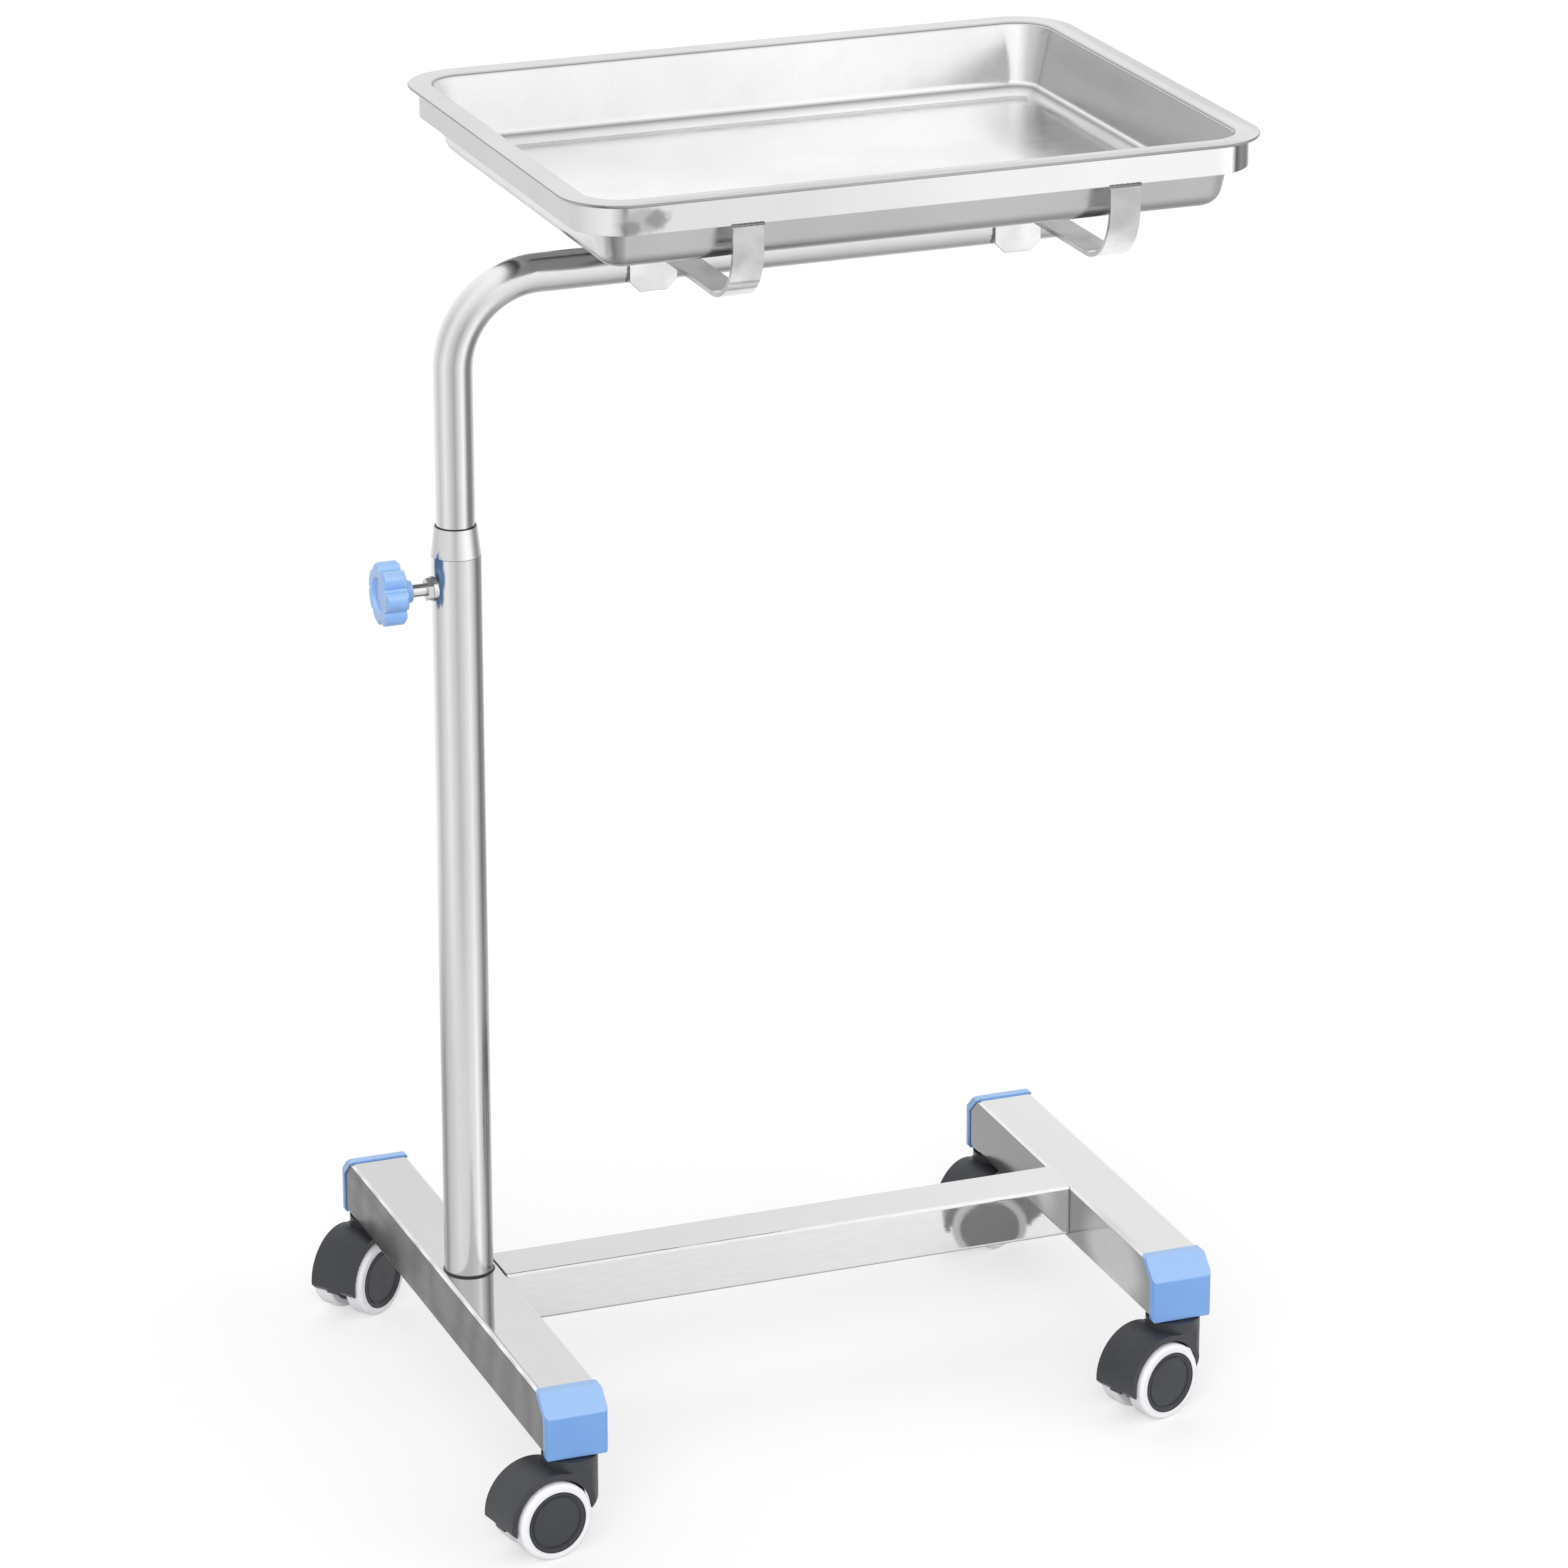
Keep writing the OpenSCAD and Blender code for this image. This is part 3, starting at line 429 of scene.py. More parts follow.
@dataclass(frozen=True)
class Steel:
    """Polished steel with painted reflections: its colour follows the direction that it faces, as a bright sheet's
    reflections do in a soft studio.
    """

    name: str
    # bands, inner, slope and lower are painted reflections by facing direction; under is the painted light and shade
    # of downward faces.
    bands: Bands
    inner: Bands = ()
    slope: Bands = ()
    under: float | None = None
    centre: Triple = (0.0, 0.0, 0.0)
    # over holds painted washes, patches and ripples of light and shade.
    over: tuple[Spot | Wash | Ripple, ...] = ()
    # seams are thin dark lines at set heights: painted shadow in gaps, and dark joints.
    seams: tuple[Triple, ...] = ()
    rough: float = 0.16
    top_rough: float | None = None
    grain: Triple = (1.0, 1.0, 1.0)
    metal: float = 1.0
    lines: float = 0.05
    lines_scale: float = 900.0
    streak: float = 0.03
    drift: float = 0.06
    drift_scale: float = 9.0
    lower: Bands = ()
    lower_span: Span = (0.0, 1.0)
    SLOPE_BLEND: ClassVar[float] = 0.12
    UNDER_SPAN: ClassVar[Span] = (-0.2, -0.75)
    DRIFT_SPAN: ClassVar[Span] = (0.25, 0.75)
    LIGHTER_DRIFT: ClassVar[float] = 0.6
    STREAK_SPAN: ClassVar[Span] = (0.68, 0.34)
    UPWARD: ClassVar[Span] = (0.5, 0.9)
    TOP: ClassVar[Span] = (0.6, 0.95)
    TOP_STREAK: ClassVar[float] = 0.2
    MARKS_DULL: ClassVar[float] = 0.45
    LINES_DULL: ClassVar[float] = 0.3
    LINES_HIGH: ClassVar[float] = 0.3 * MM

    def tone(self, draft: Draft, position: Socket, normal: Socket) -> Socket:
        """Makes the painted reflection tone, with the painted light and shade of downward faces, before drift and
        grain.

        Args:
            draft: The material's tree.
            position: Object coordinates.
            normal: The surface's own normal, in the same frame.

        Returns:
            The tone's colour.
        """
        inputs = {"Vector": draft.place(position, tuple(-c for c in self.centre)), "Normal": normal}
        facing = draft.add("Group", inputs, node_tree=Effects.facing()).outputs
        shade = draft.bands(facing["Turn"], self.bands)
        if self.lower:
            low = draft.rise(draft.part(position, "Z"), *self.lower_span, 1.0, 0.0)
            shade = draft.mix(low, shade, draft.bands(facing["Turn"], self.lower))
        if self.inner:
            shade = draft.mix(facing["Inward"], shade, draft.bands(facing["Turn"], self.inner))
        if self.slope:
            onto = draft.rise(facing["Rise"], self.slope[0][0] - self.SLOPE_BLEND, self.slope[0][0])
            shade = draft.mix(onto, shade, draft.ramp(facing["Rise"], self.slope))
        if self.under is not None:
            below = draft.rise(facing["Rise"], *self.UNDER_SPAN)
            shade = draft.mix(below, shade, grey(self.under))
        return shade

    def seamed(self, draft: Draft, position: Socket, shade: Socket) -> Socket:
        """Lays the painted washes, patches and ripples of light and shade, and darkens thin lines that run round the
        piece at set heights, at its seams and gaps.

        Args:
            draft: The material's tree.
            position: Object coordinates.
            shade: The tone so far.

        Returns:
            The tone with its seams.
        """
        # Painted light and shade laid over the painted reflection tone.
        for layer in self.over:
            shade = layer.lay(draft, position, shade)
        # Dark lines at set heights: painted shadow where they lie in gaps.
        for height, half_width, level in self.seams:
            off = draft.calc("ABSOLUTE", draft.calc("SUBTRACT", draft.part(position, "Z"), height))
            shade = draft.mix(draft.rise(off, half_width * 0.7, half_width * 1.3, 1.0, 0.0), shade, grey(level))
        return shade

    def build(self) -> Material:
        """Makes the material.

        Returns:
            The finished material.
        """
        material, draft, shader = start_material(self.name)
        coords = draft.add("TexCoord")
        position, normal = coords.outputs["Object"], coords.outputs["Normal"]
        inputs = {"Vector": draft.place(position, scale=self.grain), "Lines Scale": self.lines_scale,
                  "Drift Scale": self.drift_scale}
        polish = draft.add("Group", inputs, node_tree=Effects.polish()).outputs
        shade = self.seamed(draft, position, self.tone(draft, position, normal))
        drift = draft.rise(polish["Drift"], *self.DRIFT_SPAN, 1 - self.drift,
                           1 + self.drift * self.LIGHTER_DRIFT)
        up = draft.part(normal, "Z")
        depth = draft.rise(up, *self.UPWARD, self.streak, self.streak * self.TOP_STREAK)
        dips = draft.rise(polish["Lines"], *self.STREAK_SPAN)
        streak = draft.calc("SUBTRACT", 1.0, draft.calc("MULTIPLY", depth, dips))
        shade = draft.mix(1.0, shade, draft.calc("MULTIPLY", drift, streak), "MULTIPLY")
        dull: object = self.rough
        if self.top_rough is not None:
            dull = draft.rise(up, *self.TOP, self.rough, self.top_rough)
        worn = draft.calc("MULTIPLY_ADD", polish["Marks"], self.MARKS_DULL, 1.0)
        worn = draft.calc("MULTIPLY_ADD", polish["Lines"], self.LINES_DULL, worn)
        draft.fill(shader, {"Base Color": shade, "Roughness": draft.calc("MULTIPLY", dull, worn),
                            "Metallic": self.metal,
                            "Normal": draft.bump(polish["Lines"], self.lines, self.LINES_HIGH)})
        return material


@dataclass(frozen=True)
class BentSteel(Steel):
    """Polished tube that rises and bends level: its painted reflection tone runs round the section and changes through
    the bend.
    """

    level: Bands = ()
    bend_radius: float = 0.05

    def tone(self, draft: Draft, position: Socket, normal: Socket) -> Socket:
        """Makes the painted reflection tone round the tube's section.

        Args:
            draft: The material's tree.
            position: Object coordinates.
            normal: Not needed on a tube.

        Returns:
            The tone's colour.
        """
        inputs = {"Vector": draft.place(position, tuple(-c for c in self.centre)), "Bend Radius": self.bend_radius}
        section = draft.add("Group", inputs, node_tree=Effects.tube_facing()).outputs
        rising = draft.bands(section["Turn"], self.bands)
        return draft.mix(section["Level"], rising, draft.bands(section["Turn"], self.level))


@dataclass(frozen=True)
class Plastic:
    """Moulded plastic: a base colour that drifts a little, a fine moulded texture, light scuffs, and a painted lighter
    colour on upward faces where light falls.
    """

    name: str
    shown: Triple
    deep: Triple
    rough: float = 0.4
    texture_scale: float = 2500.0
    texture: float = 0.1
    coat: float = 0.0
    # upper: a lighter colour on upward faces, painted light from above.
    upper: Triple | None = None
    SHADE_SPAN: ClassVar[Span] = (0.3, 0.7)
    UPPER_SPAN: ClassVar[Span] = (0.15, 0.6)
    SCUFF_DULL: ClassVar[float] = 0.16
    COAT_ROUGH: ClassVar[float] = 0.15
    TEXTURE_HIGH: ClassVar[float] = 0.2 * MM

    def build(self) -> Material:
        """Makes the material.

        Returns:
            The finished material.
        """
        material, draft, shader = start_material(self.name)
        coords = draft.add("TexCoord").outputs
        inputs = {"Vector": coords["Object"], "Texture Scale": self.texture_scale}
        moulding = draft.add("Group", inputs, node_tree=Effects.moulding()).outputs
        shade = draft.rise(moulding["Shade"], *self.SHADE_SPAN)
        base = draft.mix(shade, colour(*self.shown), colour(*self.deep))
        # Painted light: the upward faces take the lighter colour.
        if self.upper is not None:
            above = draft.rise(draft.part(coords["Normal"], "Z"), *self.UPPER_SPAN)
            base = draft.mix(above, base, colour(*self.upper))
        dull = draft.calc("MULTIPLY_ADD", moulding["Scuff"], self.SCUFF_DULL, self.rough)
        draft.fill(shader, {"Base Color": base, "Roughness": dull, "Coat Weight": self.coat,
                            "Coat Roughness": self.COAT_ROUGH,
                            "Normal": draft.bump(moulding["Texture"], self.texture, self.TEXTURE_HIGH)})
        return material


class Workshop:
    """Stands smooth, edge-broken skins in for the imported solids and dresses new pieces."""

    @staticmethod
    def skin(node: str, material: Material, broken: float = 0.0, crease: float = CREASE) -> Piece:
        """Stands a merged, smooth copy of a solid in for it.

        Args:
            node: The solid's name.
            material: Its finish.
            broken: Width of the bevel that breaks its sharp edges, 0 for none.
            crease: Angle in degrees above which an edge stays sharp.

        Returns:
            The new piece.
        """
        solid = frame["nodes"][node]
        shape = bmesh.new()
        shape.from_mesh(solid.data)
        bmesh.ops.remove_doubles(shape, verts=shape.verts, dist=MERGE_DISTANCE)
        bmesh.ops.dissolve_limit(shape, angle_limit=math.radians(FLAT_ANGLE), verts=shape.verts, edges=shape.edges)
        if broken:
            fold = math.radians(crease)
            sharp = [e for e in shape.edges if len(e.link_faces) == 2 and e.calc_face_angle(0.0) > fold]
            bmesh.ops.bevel(
                shape, geom=sharp, offset=broken, offset_type="OFFSET", affect="EDGES", segments=2, profile=0.5,
                material=-1, clamp_overlap=True)
        piece = Workshop.from_shape(f"{node}_skin", shape)
        return Workshop.dress(piece, solid["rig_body"], material, Workshop.slot_of(solid), node, crease)

    @staticmethod
    def slot_of(solid: Piece) -> str:
        """Reads the record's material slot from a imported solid."""
        return solid.data.materials[0].name.split(".")[0]

    @staticmethod
    def dress(piece: Piece, body: str, material: Material, slot: str, stands_for: str = "",
              crease: float = CREASE) -> Piece:
        """Links a finished piece, gives it its finish and lets it ride on its body.

        Args:
            piece: An object with its place in its mesh.
            body: The body that it rides on.
            material: Its finish.
            slot: The record's material slot; not used.
            stands_for: The solid that it replaces, if any.
            crease: Angle in degrees above which an edge stays sharp.

        Returns:
            The same piece.
        """
        bpy.context.scene.collection.objects.link(piece)
        piece.data.materials.append(material)
        piece.data.set_sharp_from_angle(angle=math.radians(crease))
        piece.modifiers.new("even_shading", "WEIGHTED_NORMAL").keep_sharp = True
        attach(piece, body)
        if stands_for:
            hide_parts(stands_for)
        LOG.info("%s rides on %s, %d faces", piece.name, body, len(piece.data.polygons))
        return piece

    @staticmethod
    def from_shape(name: str, shape: bmesh.types.BMesh) -> Piece:
        """Turns a finished bmesh into an object, all faces smooth.

        Args:
            name: The piece's name.
            shape: Its shape, which is freed.

        Returns:
            The new object.
        """
        mesh = bpy.data.meshes.new(name)
        for face in shape.faces:
            face.smooth = True
        shape.to_mesh(mesh)
        shape.free()
        return bpy.data.objects.new(name, mesh)


@dataclass(frozen=True)
class Finishes:
    """The finish of each kind of piece."""

    beams: dict[str, Material]
    cap: Material
    plated: Material
    weld: Material
    column: Material
    collar: Material
    bush: Material
    fastener: Material
    knob: Material
    arm: Material
    plug: Material
    saddle: Material
    strap: Material
    hoop: Material
    sheet: Material
    shell: Material
    hub: Material
    tyre: Material
    # The dark finish of the rings painted as the shadow of the gap between hub and tyre.
    trim: Material


@dataclass
class WeldBead:
    """A bead of weld laid as overlapping drops along a straight or round seam."""

    name: str
    body: str
    path: Sequence[Vector]
    width: float = 2.2 * MM
    pitch: float = 1.3 * MM
    swell: float = 0.12
    swell_step: float = 2.3
    spread: float = 1.15
    overlap: float = 0.95

    def stations(self) -> list[tuple[Vector, Vector]]:
        """Spaces the drops evenly along the seam.

        Returns:
            The middle of each drop and the seam's direction there.
        """
        spots: list[tuple[Vector, Vector]] = []
        rest = 0.0
        for start, end in zip(self.path, self.path[1:]):
            run = (end - start).length
            way = (end - start).normalized()
            at = rest
            while at <= run:
                spots.append((start + way * at, way))
                at += self.pitch
            rest = at - run
        return spots

    def build(self, material: Material) -> Piece:
        """Makes the bead.

        Args:
            material: The bead's finish.

        Returns:
            The piece.
        """
        shape = bmesh.new()
        for count, (spot, way) in enumerate(self.stations()):
            wide = self.width * (1 + self.swell * math.sin(self.swell_step * count)) / 2 * self.spread
            turn = way.to_track_quat("Z", "Y").to_matrix().to_4x4()
            size = Matrix.Diagonal((wide, wide, self.pitch * self.overlap, 1))
            place = Matrix.Translation(spot) @ turn @ size
            bmesh.ops.create_icosphere(shape, subdivisions=1, radius=1.0, matrix=place)
        piece = Workshop.from_shape(self.name, shape)
        return Workshop.dress(piece, self.body, material, "tube_steel", crease=ROUND_CREASE)


@dataclass
class Foot:
    """The foot: two cross beams on a spine, their end caps and the sockets that hold the caster stems."""

    finish: Finishes
    seam_inset: float = 2.0 * MM
    seam_width: float = 1.6 * MM
    cap_edge: float = 0.7 * MM

    def build(self) -> None:
        """Dresses the foot."""
        for node, steel in self.finish.beams.items():
            Workshop.skin(node, steel, crease=SOFT_CREASE)
        for beam in Beam:
            for side in Side:
                Workshop.skin(f"cap_{beam.value}_{side.value}", self.finish.cap, self.cap_edge)
                Workshop.skin(f"socket_{beam.value}_{side.value}", self.finish.plated)
        self.seams()

    def seams(self) -> None:
        """Lays the weld beads that join the spine to the two cross beams."""
        low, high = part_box("spine_beam")
        mast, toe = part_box("mast_beam"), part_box("toe_beam")
        for label, x in (("mast", mast[1].x), ("toe", toe[0].x)):
            for face, y in (("near", low.y), ("far", high.y)):
                path = [Vector((x, y, low.z + self.seam_inset)), Vector((x, y, high.z - self.seam_inset))]
                WeldBead(f"seam_{label}_{face}", "base", path, self.seam_width).build(self.finish.weld)


@dataclass
class Column:
    """The column with its guide collar and the nylon bush that the arm's tube slides in."""

    finish: Finishes
    collar_edge: float = 0.25 * MM

    def build(self) -> None:
        """Dresses the column."""
        Workshop.skin("column_tube", self.finish.column)
        Workshop.skin("guide_collar", self.finish.collar, self.collar_edge)
        Workshop.skin("guide_bush", self.finish.bush)


@dataclass
class Clamp:
    """The height clamp: a nut on the collar, a stud and its lobed hand knob."""

    finish: Finishes
    nut_edge: float = 0.2 * MM
    knob_edge: float = 0.9 * MM

    def build(self) -> None:
        """Dresses the clamp."""
        Workshop.skin("clamp_nut", self.finish.fastener, self.nut_edge)
        Workshop.skin("clamp_stud", self.finish.fastener)
        Workshop.skin("clamp_knob", self.finish.knob, self.knob_edge)


@dataclass
class Arm:
    """The bent arm, its end plug, the two saddles and straps that carry the tray's frame."""

    finish: Finishes
    plug_edge: float = 0.4 * MM
    saddle_edge: float = 0.6 * MM
    strap_edge: float = 0.8 * MM
    hoop_edge: float = 0.5 * MM
    bead: float = 2.0 * MM
    saddle_pitch: float = 1.5 * MM
    flank: int = 44
    flank_step: int = 8

    def build(self) -> None:
        """Dresses the arm."""
        Workshop.skin("arm_tube", self.finish.arm)
        Workshop.skin("arm_plug", self.finish.plug, self.plug_edge)
        for place in ("inner", "outer"):
            Workshop.skin(f"saddle_{place}", self.finish.saddle, self.saddle_edge)
            Workshop.skin(f"strap_{place}", self.finish.strap, self.strap_edge, crease=SOFT_CREASE)
        Workshop.skin("tray_frame", self.finish.hoop, self.hoop_edge, crease=SOFT_CREASE)
        self.strap_beads()
        self.saddle_beads()

    def strap_beads(self) -> None:
        """Lays a short bead across the top of each strap leg, where it meets the frame."""
        hoop_low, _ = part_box("tray_frame")
        for place in ("inner", "outer"):
            low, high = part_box(f"strap_{place}")
            for side, y in (("near", low.y), ("far", high.y)):
                path = [Vector((x, y, hoop_low.z)) for x in (low.x + self.bead / 2, high.x - self.bead / 2)]
                WeldBead(f"bead_{place}_{side}", "tray_arm", path, self.bead).build(self.finish.weld)

    def saddle_beads(self) -> None:
        """Lays a bead round both flanks of the arm's tube at each end of the saddles."""
        tube_low, tube_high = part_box("arm_tube")
        radius = (tube_high.y - tube_low.y) / 2
        axis_y, axis_z = (tube_high.y + tube_low.y) / 2, tube_high.z - radius
        for place in ("inner", "outer"):
            low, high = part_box(f"saddle_{place}")
            for end, x in (("root", low.x), ("tip", high.x)):
                for side, middle in (("near", -math.pi / 2), ("far", math.pi / 2)):
                    turns = [middle + math.radians(a) for a in range(-self.flank, self.flank + 1, self.flank_step)]
                    path = [Vector((x, axis_y + radius * math.sin(t), axis_z + radius * math.cos(t))) for t in turns]
                    bead = WeldBead(f"weld_{place}_{end}_{side}", "tray_arm", path, self.bead, self.saddle_pitch)
                    bead.build(self.finish.weld)


@dataclass
class Tray:
    """The pressed tray that lifts out of its frame."""

    finish: Finishes
    crease: float = 30.0

    def build(self) -> None:
        """Dresses the tray."""
        Workshop.skin("tray", self.finish.sheet, crease=self.crease)


@dataclass
class Caster:
    """One swivelling twin-wheel caster under an end of a cross beam."""

    finish: Finishes
    beam: Beam
    side: Side
    hood_edge: float = 0.9 * MM
    hub_edge: float = 0.6 * MM
    tyre_crease: float = 60.0
    sunk: float = 0.15 * MM
    ring_inset: float = 0.2 * MM
    ring_thick: float = 0.45 * MM
    ridge_share: float = 0.84
    ridge_thick: float = 0.3 * MM
    section_sides: int = 8
    ring_steps: int = 72

    def build(self) -> None:
        """Dresses the caster."""
        corner = f"{self.beam.value}_{self.side.value}"
        Workshop.skin(f"stem_{corner}", self.finish.plated)
        Workshop.skin(f"hood_{corner}", self.finish.shell, self.hood_edge)
        Workshop.skin(f"axle_{corner}", self.finish.plated)
        for wheel, twin in (("a", "b"), ("b", "a")):
            Workshop.skin(f"hub_{corner}_{wheel}", self.finish.hub, self.hub_edge)
            Workshop.skin(f"tyre_{corner}_{wheel}", self.finish.tyre, crease=self.tyre_crease)
            self.rings(f"{corner}_{wheel}", f"{corner}_{twin}")

    def rings(self, wheel: str, twin: str) -> None:
        """Lays a dark ring, a painted shadow of the gap where the hub meets the tyre, and a low ridge inside it, on
        the hub's outer face.

        Args:
            wheel: The wheel's corner and letter.
            twin: Those of the other wheel on the axle.
        """
        solid = frame["nodes"][f"hub_{wheel}"]
        low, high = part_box(f"hub_{wheel}")
        other_low, other_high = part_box(f"hub_{twin}")
        middle = (low + high) / 2
        out = (middle - (other_low + other_high) / 2).normalized()
        arms = [v.co - middle for v in solid.data.vertices]
        face = max(arm.dot(out) for arm in arms)
        wide = max((arm - out * arm.dot(out)).length for arm in arms)
        turn = out.to_track_quat("Z", "Y").to_matrix().to_4x4()
        place = Matrix.Translation(middle + out * (face - self.sunk)) @ turn
        # The dark ring is a painted shadow of the gap between hub and tyre.
        ring = ("hub_ring", wide - self.ring_inset, self.ring_thick, self.finish.trim)
        ridge = ("hub_ridge", wide * self.ridge_share, self.ridge_thick, self.finish.hub)
        for name, radius, thick, finish in (ring, ridge):
            shape = bmesh.new()
            section = Matrix.Translation((radius, 0, 0)) @ Matrix.Rotation(math.pi / 2, 4, "X")
            bmesh.ops.create_circle(shape, segments=self.section_sides, radius=thick, matrix=section)
            bmesh.ops.spin(
                shape, geom=shape.verts[:] + shape.edges[:], cent=(0, 0, 0), axis=(0, 0, 1), angle=math.tau,
                steps=self.ring_steps, use_merge=True)
            bmesh.ops.recalc_face_normals(shape, faces=shape.faces)
            bmesh.ops.transform(shape, matrix=place, verts=shape.verts)
            piece = Workshop.from_shape(f"{name}_{wheel}", shape)
            Workshop.dress(piece, solid["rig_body"], finish, Workshop.slot_of(solid), crease=ROUND_CREASE)


@dataclass
class Studio:
    """The pale floor, the soft lights and the camera."""

    eye: Triple = (-1.4525, -3.7675, 1.8962)
    azimuth: float = -20.31
    elevation: float = 20.03
    roll: float = -0.33
    lens: float = 151.8
    sensor: float = 36.0
    shift: Span = (0.0601, -0.0068)
    clip: Span = (0.05, 60.0)
    ambient: float = 0.62
    floor_size: float = 20.0
    floor_level: float = 188.0
    floor_glow: float = 0.53
    floor_rough: float = 0.9
    plain_rays: Sequence[str] = ("Camera", "Glossy", "Transmission")

    def build(self) -> None:
        """Makes the studio."""
        self.camera()
        self.floor()
        self.world()
        self.lamp("key_light", (-1.5, -3.0, 1.6), 1.6)
        self.lamp("fill_light", (2.6, -1.6, 1.2), 0.5)
        self.lamp("back_light", (0.4, 2.4, 2.6), 0.45)
        bpy.context.scene.view_settings.view_transform = "Standard"

    def camera(self) -> None:
        """Sets the camera from where it stands and how it is aimed."""
        turn, lift, tilt = (math.radians(a) for a in (self.azimuth, self.elevation, self.roll))
        ahead = Vector((-math.sin(turn) * math.cos(lift), math.cos(turn) * math.cos(lift), -math.sin(lift)))
        right = Vector((math.cos(turn), math.sin(turn), 0.0))
        up = right.cross(ahead)
        across, over = right * math.cos(tilt) + up * math.sin(tilt), up * math.cos(tilt) - right * math.sin(tilt)
        data = bpy.data.cameras.new("camera")
        data.lens, data.sensor_width, data.sensor_fit = self.lens, self.sensor, "HORIZONTAL"
        data.shift_x, data.shift_y = self.shift
        data.clip_start, data.clip_end = self.clip
        camera = bpy.data.objects.new("camera", data)
        pose = Matrix((across, over, -ahead)).transposed().to_4x4()
        pose.translation = Vector(self.eye)
        camera.matrix_world = pose
        bpy.context.scene.collection.objects.link(camera)
        bpy.context.scene.camera = camera

    def floor(self) -> None:
        """Lays the pale floor, which shows white to the eye and to mirrors and keeps the cart's shadow."""
        shape = bmesh.new()
        bmesh.ops.create_grid(shape, x_segments=2, y_segments=2, size=self.floor_size)
        floor = Workshop.from_shape("floor", shape)
        bpy.context.scene.collection.objects.link(floor)
        material, draft, shader = start_material("studio_floor")
        glow = draft.calc("MULTIPLY", self.seen(draft), self.floor_glow)
        draft.fill(shader, {"Base Color": grey(self.floor_level), "Roughness": self.floor_rough,
                            "Specular IOR Level": 0.0, "Emission Color": (1, 1, 1, 1), "Emission Strength": glow})
        floor.data.materials.append(material)

    def seen(self, draft: Draft) -> Socket:
        """Gives 1 for rays from the eye, from a mirror or through glass, 0 for all others."""
        eye, mirror, glass = (draft.add("LightPath").outputs[f"Is {ray} Ray"] for ray in self.plain_rays)
        return draft.calc("MAXIMUM", draft.calc("MAXIMUM", eye, mirror), glass)

    def world(self) -> None:
        """Sets an even surround that shows white and lights the cart at a plain level."""
        world = bpy.data.worlds.new("studio")
        world.use_nodes = True
        bpy.context.scene.world = world
        draft = Draft(world.node_tree)
        background = world.node_tree.nodes["Background"]
        strength = draft.calc("MULTIPLY_ADD", self.seen(draft), 1 - self.ambient, self.ambient)
        draft.fill(background, {"Color": (1, 1, 1, 1), "Strength": strength})

    def lamp(self, name: str, place: Sequence[float], strength: float, spread: float = 50.0) -> None:
        """Hangs one far, broad lamp that lights evenly and is not mirrored in the steel.

        Args:
            name: The lamp's name.
            place: Where it hangs, seen from the cart.
            strength: Its strength.
            spread: The angle that it spans, in degrees.
        """
        data = bpy.data.lights.new(name, "SUN")
        data.energy, data.angle = strength, math.radians(spread)
        lamp = bpy.data.objects.new(name, data)
        aim = (-Vector(place)).to_track_quat("-Z", "Y")
        lamp.matrix_world = Matrix.Translation(place) @ aim.to_matrix().to_4x4()
        lamp.visible_glossy = False
        bpy.context.scene.collection.objects.link(lamp)


